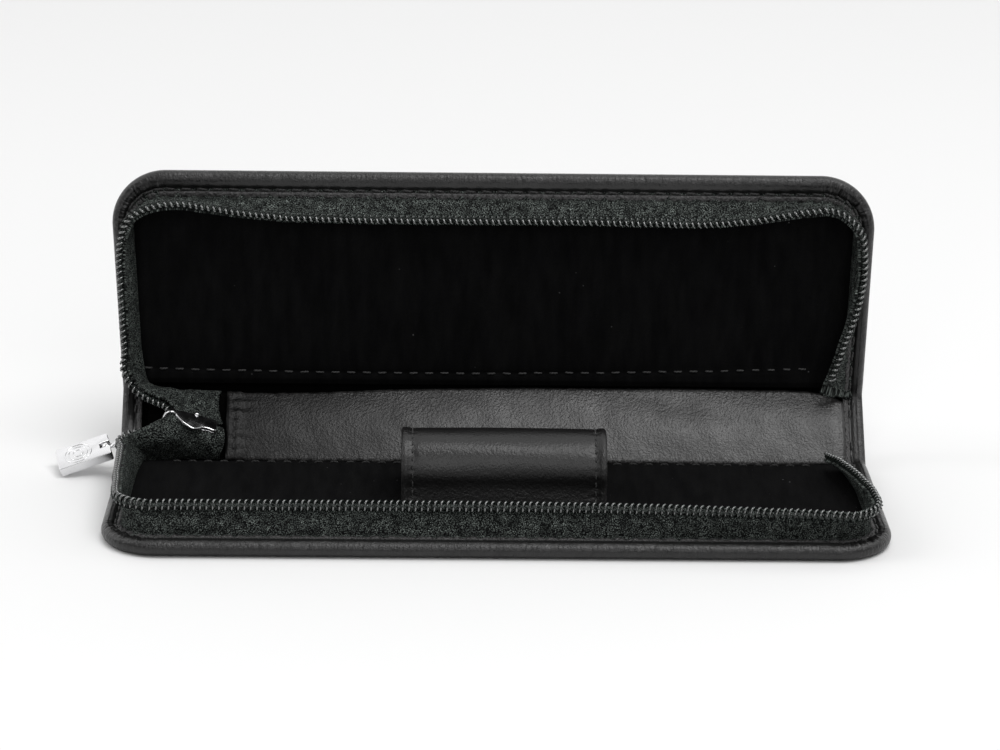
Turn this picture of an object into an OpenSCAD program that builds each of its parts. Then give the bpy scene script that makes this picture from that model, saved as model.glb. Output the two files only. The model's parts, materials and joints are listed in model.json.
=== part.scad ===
// Zip-round case for one fountain pen, standing open.
// Two stiff leather panels (base and lid) are joined by a leather spine. A coil zip runs round
// three sides. The origin is the centre of the base's underside: X runs left to right along the
// case, Y from the zip edge to the spine, Z up.

/* [Case] */
// Length of the closed case
case_len = 160; // [140:1:190]
// Depth of a panel, from its zip edge to its crease with the spine
panel_depth = 47; // [42:0.5:60]
// Distance between the two creases of the spine
spine_width = 17.6; // [17.6:0.2:24]
// Outside corner radius at the zip edge
corner_r = 11.5; // [10:0.5:16]
// How much each end of a panel draws in towards the spine
end_taper = 1.4; // [0:0.1:3]
// Angle between the base and the lid as the case stands open
open_angle = 98; // [92:1:110]

/* [Layers] */
// Thickness of the outer leather
leather_t = 0.8; // [0.6:0.1:1]
// Thickness of the stiff board in a panel
board_t = 1.2; // [0.8:0.1:1.6]
// Thickness of the zip tape
tape_t = 0.6; // [0.4:0.1:0.8]
// Thickness of the outer leather where it is skived and turned over the board
turned_t = 0.6; // [0.4:0.1:0.8]
// Width of the turned leather around a panel
margin_w = 5.5; // [5:0.1:7]
// Thickness of the stiffener in the spine
stiffener_t = 0.5; // [0.4:0.1:0.5]
// Thickness of the leather strip inside the spine
strip_t = 0.8; // [0.5:0.1:0.8]

/* [Zip] */
// Height of one coil row
coil_h = 2.7; // [2.4:0.1:3]
// Thickness of one coil row
coil_t = 1.6; // [1.2:0.1:1.8]
// Distance between the two coil rows when the case is closed
coil_gap = 0.4; // [0.3:0.1:1]
// Inside bend of the tape where it leaves the panel end for the slider
tape_bend_r = 5; // [4:0.5:6]
// Distance from a crease to the tape's free right-hand end
tape_end_gap = 6; // [5:0.5:12]
// Distance from a crease to the start of the tape's left-hand bend
tape_bend_gap = 15; // [14:0.5:20]

/* [Pen loop] */
// Width of the loop along the case
loop_w = 42; // [30:1:60]
// Outside radius of the loop's round top
loop_r = 8; // [7:0.1:8.5]
// Height of the loop above the lining
loop_h = 14; // [10:0.1:14]
// Thickness of the loop's lining
loop_lining_t = 0.6; // [0.4:0.1:0.8]
// Place of the loop along the case, from the middle
loop_x = 1.5; // [-20:0.5:20]
// Place of the loop across the base, from the middle
loop_y = 3.5; // [-3:0.5:5]

/* [Pull] */
// Length of the slider
slider_len = 8.6; // [8:0.1:9]
// Width of the slider across its shoulders
slider_w = 6.6; // [6:0.1:7]
// Length of the pull tab from its pin to its free end
tab_len = 10.6; // [9:0.1:14]
// Width of the pull tab
tab_w = 7; // [6:0.1:8]
// Thickness of the pull tab
tab_t = 2; // [1.6:0.1:2]

/* [Hidden] */

$fn = 64;
corner_steps = 16;             // straight pieces in a panel's rounded corner
cut = 1;                       // how far a cutting shape runs past the face that it opens

// Colours
leather = "#2b2a2b";
velvet = "#0d0d0e";
nylon = "#3d4440";
thread = "#4a4a4c";
greyboard = "#8a8378";
steel = "#c9c9cb";

// Panel layers, counted from the outside
panel_t = leather_t + board_t + tape_t + turned_t;
board_z = leather_t;
flange_z = board_z + board_t;
margin_z = flange_z + tape_t;
half_len = case_len / 2;
crease_gap = 1.2;              // from a panel's end to its crease
panel_end = panel_depth - crease_gap;
bead_r = crease_gap - 0.3;     // the folded leather that fills a crease
taper_a = atan(end_taper / (panel_depth - corner_r));
spine_half = half_len - end_taper;

// Folds: each of the two creases takes half of what the open case lacks to lie flat
fold = (180 - open_angle) / 2;
crease_y = panel_depth / 2;
crease_z = panel_t / 2;

// Zip rows, in a panel's own height
coil_top = crease_z + spine_width / 2 - coil_gap / 2;
coil_lap = 1.5;                // height of the tape behind the coil
tape_top = coil_top - coil_h + coil_lap;
tape_out = margin_w;           // inset of the tape's outer face
tape_in = tape_out + tape_t;
flange_inset = 2.5;            // inset of the tape's sewn edge under the turned leather
bend_y = panel_depth - tape_bend_gap;
end_y = panel_depth - tape_end_gap;
lining_inset = tape_in + 0.1;

// Stitches
stitch_inset = 3.8;
stitch_pitch = 3.3;
stitch_len = 2.3;
stitch_w = 0.5;
stitch_t = 0.2;

// Pen loop
loop_top_z = panel_t + loop_h;
loop_axis_z = loop_top_z - loop_r;
loop_in_r = loop_r - leather_t;
loop_clear_r = loop_in_r - loop_lining_t;

// Spine layers
stiffener_z = leather_t;
strip_z = stiffener_z + stiffener_t;
tail_t = 0.4;
strip_start = -56.5;           // folded left end of the spine strip
strip_stop = spine_half - margin_w - 0.1;
hem_w = 3.5;
tail_under = 6;                // length of the zip's tail held under the strip
hem_t = 0.6;

// Slider: local -X is its nose, local Z the side that faces into the case
slider_at = [-62.9, crease_y + 2.2, 9.4];
slider_roll = 17;
slider_pitch = 20;
plate_t = 0.75;
channel = 1.9;                 // gap between the two plates
plate_z = channel / 2;
face_z = plate_z + plate_t;
chain_t = 1.3;                 // thickness of the closed chain in the channel
chain_w = 3.6;
bridge_w = 1.6;
bridge_eye = [-4.7, -2.5];     // where the link turns in the bridge: local X and Z

// Pull: the link turns in the bridge, the tab turns on a pin in the link's far eye
pull_roll = 14;
link_at = slider_at + turned(slider_roll, slider_pitch, [bridge_eye[0], 0, bridge_eye[1]]);
tab_at = [-81.3, crease_y - 0.9, 5.2];
tab_yaw = 12;
tab_pitch = 15.4;
link_v = rolled(-pull_roll, tab_at - link_at);
link_yaw = atan(link_v[1] / link_v[0]);
link_run = norm([link_v[0], link_v[1]]);
link_pitch = atan(-link_v[2] / link_run);
link_len = norm(link_v);
link_t = 0.8;
link_bar_r = 0.4;              // round bar of the link, which turns in the bridge
link_head_w = 4.2;
link_hole_w = 2.6;
link_head_len = 4;
neck_w = 1.5;
pin_r = 0.4;
pin_clear = 0.08;

function rolled(a, v) = [v[0], v[1] * cos(a) - v[2] * sin(a), v[1] * sin(a) + v[2] * cos(a)];
function pitched(a, v) = [v[0] * cos(a) + v[2] * sin(a), v[1], v[2] * cos(a) - v[0] * sin(a)];
function turned(roll, pitch, v) = rolled(roll, pitched(pitch, v));

// Half-length of a panel at depth y, drawn in by inset
function side_x(y, inset) =
    half_len - corner_r + (corner_r - inset - (y - corner_r) * sin(taper_a)) / cos(taper_a);

// Points along an arc about c, from angle a0 to a1
function arc(c, r, a0, a1) =
    [for (i = [0 : corner_steps]) let (a = a0 + (a1 - a0) * i / corner_steps) c + r * [cos(a), sin(a)]];

// The two rounded corners of a panel, right to left, drawn in by inset
function corners(inset) = let (cx = half_len - corner_r, r = corner_r - inset)
    concat(arc([cx, corner_r], r, taper_a, -90), arc([-cx, corner_r], r, -90, -180 - taper_a));

// Outline of a panel from its zip edge (y = 0) to y = rear, drawn in by inset
module outline(inset, rear) {
    x = side_x(rear, inset);
    polygon(concat([[x, rear]], corners(inset), [[-x, rear]]));
}

// A point on the line that runs round a panel at the given inset, s millimetres from its
// right-hand end at y = start, and the direction there: [x, y, angle]
function round_len(inset, start) =
    2 * (start - corner_r) + 2 * (half_len - corner_r) + PI * (corner_r - inset);
function round_at(inset, start, s) =
    let (leg = start - corner_r,
         arc = PI / 2 * (corner_r - inset),
         front = 2 * (half_len - corner_r),
         cx = half_len - corner_r,
         r = corner_r - inset)
    s < leg ? [side_x(start - s, inset), start - s, 90 + taper_a] :
    s < leg + arc ? let (a = (s - leg) / arc * 90) [cx + r * cos(a), corner_r - r * sin(a), 90 - a] :
    s < leg + arc + front ? [cx - (s - leg - arc), inset, 0] :
    s < leg + 2 * arc + front ?
        let (a = (s - leg - arc - front) / arc * 90)
        [-cx - r * sin(a), corner_r - r * cos(a), -a] :
    let (y = corner_r + s - leg - 2 * arc - front) [-side_x(y, inset), y, 90 - taper_a];

// Frames: children are drawn in a panel's or the spine's own coordinates
module in_base() translate([0, -crease_y, 0]) children();
module in_spine() translate([0, crease_y, crease_z]) rotate([fold, 0, 0])
    translate([0, 0, -crease_z]) children();
module in_lid() in_spine() translate([0, spine_width, crease_z]) rotate([fold, 0, 0])
    translate([0, panel_depth, -crease_z]) mirror([0, 1, 0]) children();
module in_slider() translate(slider_at) rotate([slider_roll, 0, 0]) rotate([0, slider_pitch, 0])
    children();
module in_link() translate(link_at) rotate([pull_roll, 0, 0]) rotate([0, 0, link_yaw])
    rotate([0, -link_pitch, 0]) children();
module in_tab() translate(tab_at) rotate([pull_roll, 0, 0]) rotate([0, 0, tab_yaw])
    rotate([0, -tab_pitch, 0]) children();

module layer(z, t) translate([0, 0, z]) linear_extrude(t) children();

// Outer leather: one sheet under the board, turned up and over it round three sides
module panel_cover() difference() {
    layer(0, panel_t) outline(0, panel_end);
    layer(board_z, board_t) outline(leather_t, panel_depth);
    layer(flange_z, tape_t) outline(flange_inset, panel_depth);
    layer(margin_z, turned_t + cut) outline(margin_w, panel_depth);
}

module panel_board() layer(board_z, board_t) outline(leather_t, panel_end);

module panel_lining() layer(flange_z, panel_t - flange_z) outline(lining_inset, panel_end);

// Line of the zip round a panel, from its right-hand end to the start of its left-hand bend
function zip_line(inset) = concat([[side_x(end_y, inset), end_y]], corners(inset),
                                  [[-side_x(bend_y, inset), bend_y]]);

// The bend that leads the zip over the lining, from the panel's left side to the slider
function zip_bend(inset) = arc([tape_bend_r - side_x(bend_y, tape_out), bend_y],
                               tape_bend_r + tape_out - inset, 175, 90);

function backwards(points) = [for (i = [len(points) - 1 : -1 : 0]) points[i]];

// Band in plan between two lines
module band(line, other) polygon(concat(line, backwards(other)));

module zip_row(outer, inner)
    band(concat(zip_line(outer), zip_bend(outer)), concat(zip_line(inner), zip_bend(inner)));

module panel_zip_tape() {
    layer(flange_z, tape_t) band(zip_line(flange_inset), zip_line(tape_in));
    layer(flange_z, tape_top - flange_z) band(zip_line(tape_out), zip_line(tape_in));
    layer(panel_t, tape_top - panel_t) zip_row(tape_out, tape_in);
}

module panel_zip_coil() layer(coil_top - coil_h, coil_h) zip_row(tape_out - coil_t, tape_out);

module stitch(at) translate([at[0], at[1], 0]) rotate([0, 0, at[2]])
    translate([-stitch_len / 2, -stitch_w / 2, 0]) cube([stitch_len, stitch_w, stitch_t]);

module edge_stitches() translate([0, 0, panel_t])
    for (s = [stitch_pitch / 2 : stitch_pitch : round_len(stitch_inset, panel_end) - 1])
        stitch(round_at(stitch_inset, panel_end, s));

module lining_stitches() translate([0, 0, panel_t])
    for (i = [-20 : 20]) stitch([i * stitch_pitch, panel_end - 1.7, 0]);

// Arch of the pen loop between two radii, standing on the board
module arch(outer, inner) difference() {
    union() {
        circle(outer);
        translate([-outer, flange_z - loop_axis_z]) square([2 * outer, loop_axis_z - flange_z]);
    }
    circle(inner);
    translate([-inner, -loop_axis_z]) square([2 * inner, loop_axis_z]);
    translate([-outer, -2 * outer]) square([2 * outer, 2 * outer + flange_z - loop_axis_z]);
}

module along_loop() translate([loop_x - loop_w / 2, loop_y, loop_axis_z]) rotate([90, 0, 90])
    linear_extrude(loop_w) children();

module base_cover() color(leather) in_base() panel_cover();
module base_board() color(greyboard) in_base() panel_board();

// The lining is slit where the loop's two legs go down to the board
module base_lining() color(velvet) difference() {
    in_base() panel_lining();
    for (side = [-1, 1])
        translate([loop_x - loop_w / 2, loop_y + side * (loop_r + loop_clear_r) / 2, flange_z])
            translate([0, -(loop_r - loop_clear_r) / 2, -cut])
                cube([loop_w, loop_r - loop_clear_r, panel_t - flange_z + 2 * cut]);
}

module base_zip_tape() color(nylon) in_base() panel_zip_tape();
module base_zip_coil() color(nylon) in_base() panel_zip_coil();
module base_edge_stitching() color(thread) in_base() edge_stitches();
module base_lining_stitching() color(thread) in_base() lining_stitches();

module pen_loop() color(leather) along_loop() arch(loop_r, loop_in_r);
module pen_loop_lining() color(leather) along_loop() arch(loop_in_r, loop_clear_r);

// Two rows of stitches over the loop, one near each edge
module pen_loop_stitching() color(thread) {
    row_inset = 2.3;
    step = 13;
    for (side = [-1, 1], i = [-6 : 6])
        translate([loop_x + side * (loop_w / 2 - row_inset), loop_y, loop_axis_z])
            rotate([i * step, 0, 0]) translate([-stitch_w / 2, -0.6, loop_r])
                cube([stitch_w, 1.2, stitch_t]);
}

// Spine leather, its turned ends, and the folded leather that fills each crease
module spine_cover() color(leather) in_spine() {
    translate([-spine_half, 0, 0]) cube([2 * spine_half, spine_width, leather_t]);
    for (y = [0, spine_width]) {
        translate([-spine_half, y, crease_z]) rotate([0, 90, 0]) cylinder(r = bead_r, h = 2 * spine_half);
        translate([-spine_half, y == 0 ? 0 : y - bead_r, 0]) cube([2 * spine_half, bead_r, crease_z]);
    }
    for (x = [-spine_half, spine_half - margin_w])
        translate([x, 0, 0]) cube([margin_w, spine_width, strip_z + 0.4]);
}

module spine_stiffener() color(greyboard) in_spine()
    translate([-spine_half + margin_w, bead_r, stiffener_z])
        cube([2 * (spine_half - margin_w), spine_width - 2 * bead_r, stiffener_t]);

// Grained strip over the stiffener, its left end folded double over the zip's tail
module spine_strip() color(leather) in_spine() difference() {
    union() {
        translate([strip_start, bead_r, strip_z])
            cube([strip_stop - strip_start, spine_width - 2 * bead_r, strip_t]);
        translate([strip_start, 2.4, strip_z])
            cube([hem_w, spine_width - 4.8, strip_t + hem_t]);
    }
    translate([strip_start - cut, 0, strip_z - cut])
        cube([tail_under + cut, spine_width, tail_t + cut]);
}

module spine_strip_stitching() color(thread) in_spine()
    for (i = [-2 : 2])
        translate([strip_start + hem_w / 2, spine_width / 2, strip_z + strip_t + hem_t])
            stitch([0, i * 2.4, 90]);

module spine_edge_stitching() color(thread) in_spine()
    for (side = [-1, 1], i = [-2 : 2])
        translate([side * (spine_half - stitch_inset), spine_width / 2, strip_z + 0.4])
            stitch([0, i * stitch_pitch, 90]);

// The zip runs on inside the case past the slider and is sewn down under the strip
module zip_tail_tape() color(nylon) in_spine()
    translate([-spine_half + margin_w + 0.1, bead_r, strip_z])
        cube([strip_start + tail_under + spine_half - margin_w - 0.1,
              spine_width - 2 * bead_r, tail_t]);

module zip_tail_coil() color(nylon) {
    in_slider() translate([-0.4, -chain_w / 2, -chain_t / 2]) cube([5.4, chain_w, chain_t]);
    hull() {
        in_slider() translate([4.6, -chain_w / 2, -chain_t / 2]) cube([0.4, chain_w, chain_t]);
        in_spine() translate([strip_start - 0.7, 4.3, strip_z + tail_t]) cube([0.6, chain_w, chain_t]);
    }
}

module lid_cover() color(leather) in_lid() panel_cover();
module lid_board() color(greyboard) in_lid() panel_board();
module lid_lining() color(velvet) in_lid() panel_lining();
module lid_zip_tape() color(nylon) in_lid() panel_zip_tape();
module lid_zip_coil() color(nylon) in_lid() panel_zip_coil();
module lid_edge_stitching() color(thread) in_lid() edge_stitches();
module lid_lining_stitching() color(thread) in_lid() lining_stitches();

// One slider plate in plan: pointed nose, wide shoulders, narrower tail
module slider_plate() {
    nose = -slider_len / 2;
    tail = slider_len / 2;
    w = slider_w / 2;
    polygon([[nose, -0.9], [nose + 1.1, -0.67 * w], [nose + 2.7, -0.94 * w], [0.6, -w],
             [2, -0.77 * w], [tail, -0.73 * w], [tail, 0.73 * w], [2, 0.77 * w], [0.6, w],
             [nose + 2.7, 0.94 * w], [nose + 1.1, 0.67 * w], [nose, 0.9]]);
}

// Two plates, the post that joins them at the nose, and the flanges that guide the chain
module slider_body() color(steel) in_slider() {
    for (z = [-face_z, plate_z]) layer(z, plate_t) slider_plate();
    layer(-plate_z, channel) polygon([[-4, 0], [-2.8, -0.9], [-1.2, 0], [-2.8, 0.9]]);
    for (side = [-1, 1], z = [-plate_z, plate_z - 0.4])
        translate([0.9, side > 0 ? 1.95 : -2.4, z]) cube([slider_len / 2 - 0.9, 0.45, 0.4]);
}

// Bridge over the outer plate: it rises at the tail and comes down past the nose
module slider_bridge() color(steel) in_slider()
    translate([0, bridge_w / 2, 0]) rotate([90, 0, 0]) linear_extrude(bridge_w) difference() {
        polygon([[2, -face_z], [1.2, -3.5], [-0.4, -4.2], [-4.6, -4.2], [-6, -3.4], [-6.3, -2],
                 [-5.6, -0.9], [-slider_len / 2, -0.9], [-slider_len / 2, -face_z]]);
        polygon([[0.9, -face_z], [0.4, -2.9], [-0.8, -3.5], [-4.3, -3.5], [-5.3, -3],
                 [-5.6, -2.1], [-5.2, -face_z]]);
    }

// Link: a flat head with a round bar inside the bridge, a slim neck and a bored eye for the pin
module pull_link() color(steel) {
    in_link() translate([0, 0, -link_t / 2]) linear_extrude(link_t) difference() {
        union() {
            translate([-link_head_len, -link_head_w / 2]) square([link_head_len, link_head_w]);
            translate([-link_len + 0.9, -neck_w / 2]) square([link_len - 1.5, neck_w]);
        }
        translate([-link_head_len + link_t, -link_hole_w / 2]) square([link_head_len, link_hole_w]);
    }
    in_link() rotate([90, 0, 0]) cylinder(r = link_bar_r, h = link_head_w, center = true);
    in_tab() difference() {
        rotate([90, 0, 0]) cylinder(r = 1, h = neck_w, center = true);
        rotate([90, 0, 0]) cylinder(r = pin_r + pin_clear, h = 2 * neck_w, center = true);
    }
}

// Tab: a flat plate whose slotted end straddles the link's eye
module pull_tab() color(steel) in_tab() difference() {
    translate([-tab_len, -tab_w / 2, -tab_t / 2]) cube([tab_len + 0.9, tab_w, tab_t]);
    translate([-1.5, -neck_w / 2 - 0.3, -tab_t]) cube([2 * tab_t, neck_w + 0.6, 2 * tab_t]);
    rotate([90, 0, 0]) cylinder(r = pin_r, h = tab_w - 1.2, center = true);
}

module pull_pin() color(steel) in_tab() rotate([90, 0, 0])
    cylinder(r = pin_r, h = tab_w - 1.2, center = true);

base_cover();
base_board();
base_lining();
base_zip_tape();
base_zip_coil();
base_edge_stitching();
base_lining_stitching();
pen_loop();
pen_loop_lining();
pen_loop_stitching();
spine_cover();
spine_stiffener();
spine_strip();
spine_strip_stitching();
spine_edge_stitching();
zip_tail_tape();
zip_tail_coil();
lid_cover();
lid_board();
lid_lining();
lid_zip_tape();
lid_zip_coil();
lid_edge_stitching();
lid_lining_stitching();
slider_body();
slider_bridge();
pull_link();
pull_tab();
pull_pin();
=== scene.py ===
import json
import math

import bmesh
import bpy
import numpy as np
from mathutils import Matrix, Vector


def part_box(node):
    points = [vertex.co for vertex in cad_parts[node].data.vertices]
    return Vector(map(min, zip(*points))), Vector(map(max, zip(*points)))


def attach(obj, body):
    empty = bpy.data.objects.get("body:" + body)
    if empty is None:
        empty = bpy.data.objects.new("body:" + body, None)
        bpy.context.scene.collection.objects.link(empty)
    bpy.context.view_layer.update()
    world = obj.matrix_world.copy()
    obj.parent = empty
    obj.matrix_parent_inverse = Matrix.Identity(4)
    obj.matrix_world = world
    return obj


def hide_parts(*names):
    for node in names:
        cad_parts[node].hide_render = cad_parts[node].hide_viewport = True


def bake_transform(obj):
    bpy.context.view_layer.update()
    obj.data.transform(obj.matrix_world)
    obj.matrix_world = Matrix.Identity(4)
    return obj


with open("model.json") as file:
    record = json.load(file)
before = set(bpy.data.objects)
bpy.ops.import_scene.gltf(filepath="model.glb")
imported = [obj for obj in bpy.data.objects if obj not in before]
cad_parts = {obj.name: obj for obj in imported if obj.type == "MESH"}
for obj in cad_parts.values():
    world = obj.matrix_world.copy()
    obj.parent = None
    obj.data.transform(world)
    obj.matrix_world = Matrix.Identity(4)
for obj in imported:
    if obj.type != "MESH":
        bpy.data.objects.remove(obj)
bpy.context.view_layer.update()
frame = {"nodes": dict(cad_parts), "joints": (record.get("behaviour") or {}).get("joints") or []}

# Shapes are worked out in millimetres and written to the meshes in metres.
MM = 0.001
UP = np.array([0.0, 0, 1])

# ---- The case's own sizes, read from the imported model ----
joints = {j["name"]: j for j in frame["joints"]}


def joint_point(name):
    """Where a joint turns, in millimetres."""
    return np.array(joints[name]["pos_m"], float) / MM


def node_box(name):
    """Lowest and highest corner of a CAD node, in millimetres."""
    low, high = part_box(name)
    return np.array(low) / MM, np.array(high) / MM


cover_low, cover_high = node_box("base_cover")
BASE_CREASE = joint_point("base_spine_fold")
LID_CREASE = joint_point("spine_lid_fold")
HALF_LEN = cover_high[0]
PANEL_T = cover_high[2]
PANEL_DEPTH = BASE_CREASE[1] - cover_low[1]
SPINE_HALF = node_box("spine_cover")[1][0]
SPINE_WIDTH = float(np.linalg.norm(LID_CREASE - BASE_CREASE))
MID_T = BASE_CREASE[2]
FOLD = math.atan2(LID_CREASE[2] - BASE_CREASE[2], LID_CREASE[1] - BASE_CREASE[1])

# The panel's corner and its layers. Insets are measured from the panel's outline, and heights
# from its outer face. SIDE_SHARE is how wide the turned edge is at the sides.
CORNER_R = 11.5
LID_FLARE = 0.8
TAPER = math.atan((HALF_LEN - SPINE_HALF) / (PANEL_DEPTH - CORNER_R))
LEATHER_T = 0.8
BEAD_TOP = 3.3
BEAD_WIDEN = 1.06
GROOVE_INSET = 3.8
GROOVE_DEPTH = 0.5
MARGIN_INSET = 5.6
SIDE_SHARE = 0.75
BED_INSET = 6.0
STITCH_PITCH = 3.3
STITCH_LEN = 2.2
END_GAP = 1.2
GATHER_PITCH = 1.05
GATHER_RISE = 0.62
FOLD_REACH = 2.6
FLESH_SIDE = -3.0

# The zip. The tape rises by TAPE_RISE from its root, and WIRE_R is the monofilament's radius.
TAPE_T = 0.5
TAPE_RISE = 7.3
TAPE_BEHIND = 0.95
TAPE_EASE = {"base": 0.5, "lid": -0.25}
ROOT_INSET = 5.7
ROOT_Z = 2.9
COIL_PITCH = 1.27
COIL_START = {"base": 0.4, "lid": 3.6}
COIL_HEIGHT = 2.7
COIL_THICK = 1.6
WIRE_R = 0.235
FILLER_RADII = (0.36, 0.62)

# The strip in the spine
STRIP_LEFT = -56.5
STRIP_RIGHT = SPINE_HALF - MARGIN_INSET * SIDE_SHARE - 0.05
HEM_WIDTH = 3.5


# ---- Small tools ----
def soft(t):
    """0 below 0, 1 above 1, and a smooth step between."""
    t = np.clip(t, 0, 1)
    return t * t * (3 - 2 * t)


def hump(t, centre, width):
    """A smooth bump of height 1."""
    return np.exp(-(((t - centre) / width) ** 2))


def unit(v):
    """Vectors scaled to length 1."""
    return v / np.maximum(np.linalg.norm(v, axis=-1, keepdims=True), 1e-9)


def full_turn(count):
    """Angles evenly round a circle."""
    return np.linspace(0, 2 * math.pi, count, endpoint=False)


def run_along(points):
    """The distance run along a line, at each of its points."""
    return np.concatenate([[0], np.cumsum(np.linalg.norm(np.diff(points, axis=0), axis=1))])


def columns(*parts):
    """Points from arrays of their coordinates."""
    return np.column_stack([np.ravel(part) for part in parts])


def ripple(t, seed, waves):
    """A smooth irregular wave of height about 1, made of the given wavelengths."""
    draw = np.random.RandomState(seed)
    total = np.zeros_like(t, dtype=float)
    for wave in waves:
        total += np.sin(2 * math.pi * (t / wave + draw.rand()))
    return total / len(waves)


def through(places, values, at):
    """Values at the places in between, along a smooth curve through the given ones."""
    places, values = np.array(places, float), np.array(values, float)
    flat = values.ndim == 1
    if flat:
        values = values[:, None]
    slope = np.gradient(values, places, axis=0)
    i = np.clip(np.searchsorted(places, at) - 1, 0, len(places) - 2)
    h = (places[i + 1] - places[i])[:, None]
    t = np.clip((at - places[i])[:, None] / h, 0, 1)
    curve = (
        (1 + 2 * t) * (1 - t) ** 2 * values[i]
        + t * (1 - t) ** 2 * h * slope[i]
        + t**2 * (3 - 2 * t) * values[i + 1]
        + t**2 * (t - 1) * h * slope[i + 1]
    )
    return curve[:, 0] if flat else curve


def grid_faces(rows, cols, around=False):
    """Quads of a grid of points, rows by cols, closed round the columns if around."""
    faces = []
    for i in range(rows - 1):
        for j in range(cols if around else cols - 1):
            k = (j + 1) % cols
            a, b = i * cols, (i + 1) * cols
            faces.append((a + j, a + k, b + k, b + j))
    return faces


def tube_faces(rows, cols):
    """Faces of a tube: its wall and its two ends."""
    last = (rows - 1) * cols
    ends = [tuple(range(cols)), tuple(last + j for j in reversed(range(cols)))]
    return grid_faces(rows, cols, around=True) + ends


def add_object(name, data):
    """A new object in the scene."""
    made = bpy.data.objects.new(name, data)
    bpy.context.scene.collection.objects.link(made)
    return made


def make_piece(name, points, faces, material, flat=None, smooth=True):
    """A mesh object from points in millimetres. flat holds the uncut material's own
    coordinates: along, across, and a third that sorts rubbing, painted highlight, the margin and
    the flesh side."""
    mesh = bpy.data.meshes.new(name)
    mesh.from_pydata((np.asarray(points, float) * MM).tolist(), [], faces)
    if flat is not None:
        layer = mesh.attributes.new("flat", "FLOAT_VECTOR", "POINT")
        layer.data.foreach_set("vector", np.asarray(flat, np.float32).ravel())
    work = bmesh.new()
    work.from_mesh(mesh)
    bmesh.ops.recalc_face_normals(work, faces=work.faces)
    work.to_mesh(mesh)
    work.free()
    mesh.materials.append(material)
    mesh.polygons.foreach_set("use_smooth", [smooth] * len(mesh.polygons))
    return add_object(name, mesh)


def settle(piece, slot, *nodes, body=None):
    """Hangs a finished piece on the body that carries it, when one is given, and hides the CAD
    nodes it stands for; slot is not used.
    """
    if body is not None:
        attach(piece, body)
    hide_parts(*nodes)


def apply_modifiers(piece):
    """Leaves the piece with its modifiers' result as its mesh."""
    bpy.context.view_layer.update()
    seen = piece.evaluated_get(bpy.context.evaluated_depsgraph_get())
    mesh = bpy.data.meshes.new_from_object(seen)
    piece.modifiers.clear()
    piece.data = mesh


def thicken(piece, thickness):
    """Turns an open sheet into a closed one."""
    solid = piece.modifiers.new("thickness", "SOLIDIFY")
    solid.thickness = thickness * MM
    solid.offset = 0
    apply_modifiers(piece)


class Shape:
    """Points and faces of a piece that is made of several closed parts."""

    def __init__(self):
        self.points, self.faces, self.flat = [], [], []

    def add(self, points, faces, flat=None):
        start = sum(len(p) for p in self.points)
        self.points.append(np.asarray(points, float))
        self.faces += [tuple(start + i for i in face) for face in faces]
        self.flat.append(np.zeros((len(points), 3)) if flat is None else flat)

    def piece(self, name, material, smooth=True, place=None):
        points = np.vstack(self.points)
        if place is not None:
            points = place(points)
        return make_piece(name, points, self.faces, material, np.vstack(self.flat), smooth)


def tube(path, side, up, radius_side, radius_up, sides=8, closed=False):
    """A tube of oval section along a path, with rounded ends unless it is closed."""
    turn = full_turn(sides)
    scale = np.ones(len(path))
    if not closed:
        scale[[0, -1]] = 0.55
    ring = (
        path[:, None]
        + (scale[:, None] * radius_side)[:, None] * np.cos(turn)[None, :, None] * side[:, None]
        + (scale[:, None] * radius_up)[:, None] * np.sin(turn)[None, :, None] * up[:, None]
    )
    points = ring.reshape(-1, 3)
    if not closed:
        return points, tube_faces(len(path), sides)
    last = (len(path) - 1) * sides
    join = [(last + j, last + (j + 1) % sides, (j + 1) % sides, j) for j in range(sides)]
    return points, grid_faces(len(path), sides, around=True) + join


# ---- Places ----
# A point on a panel is (x, v, z), with v from the zip edge and z from the outside. Past the
# crease, v runs on into the spine.
def on_panel(crease, start_angle, end_angle, sense, p):
    """Bends a panel's own points round its crease."""
    q = p[:, 1] - PANEL_DEPTH
    w = p[:, 2] - MID_T
    angle = start_angle + (end_angle - start_angle) * soft((q + FOLD_REACH) / (2 * FOLD_REACH))
    y = crease[1] + sense * q * np.cos(angle) - w * np.sin(angle)
    z = crease[2] + sense * q * np.sin(angle) + w * np.cos(angle)
    return columns(p[:, 0], y, z)


def on_base(p):
    return on_panel(BASE_CREASE, 0.0, FOLD, 1, p)


def on_lid(p):
    """The lid flares a little to the left towards its front edge."""
    flared = np.array(p, float)
    leftness = np.clip(0.5 - flared[:, 0] / (2 * HALF_LEN), 0, 1)
    flared[:, 0] -= LID_FLARE * leftness * np.clip(1 - flared[:, 1] / PANEL_DEPTH, 0, 1)
    return on_panel(LID_CREASE, 2 * FOLD, FOLD, -1, flared)


def on_spine(p):
    """(x, s, z) with s from the base's crease and z from the outside."""
    s, w = p[:, 1], p[:, 2] - MID_T
    y = BASE_CREASE[1] + s * math.cos(FOLD) - w * math.sin(FOLD)
    z = BASE_CREASE[2] + s * math.sin(FOLD) + w * math.cos(FOLD)
    return columns(p[:, 0], y, z)


SIDES = {"base": on_base, "lid": on_lid}


def bend_between(piece, side, panel_end, spine_end):
    """Only bakes the piece's placement into its mesh; the place on its panel and the place in the
    spine are not used.
    """
    if side == "base":
        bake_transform(piece)
    else:
        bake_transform(piece)


def bend_leather(piece, side):
    """For the leather and its stitches: hands bend_between the stretch close to the crease, where
    it only bakes the piece's placement.
    """
    ends = [[0, PANEL_DEPTH - FOLD_REACH, MID_T], [0, PANEL_DEPTH + FOLD_REACH, MID_T]]
    bend_between(piece, side, *SIDES[side](np.array(ends)))


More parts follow.
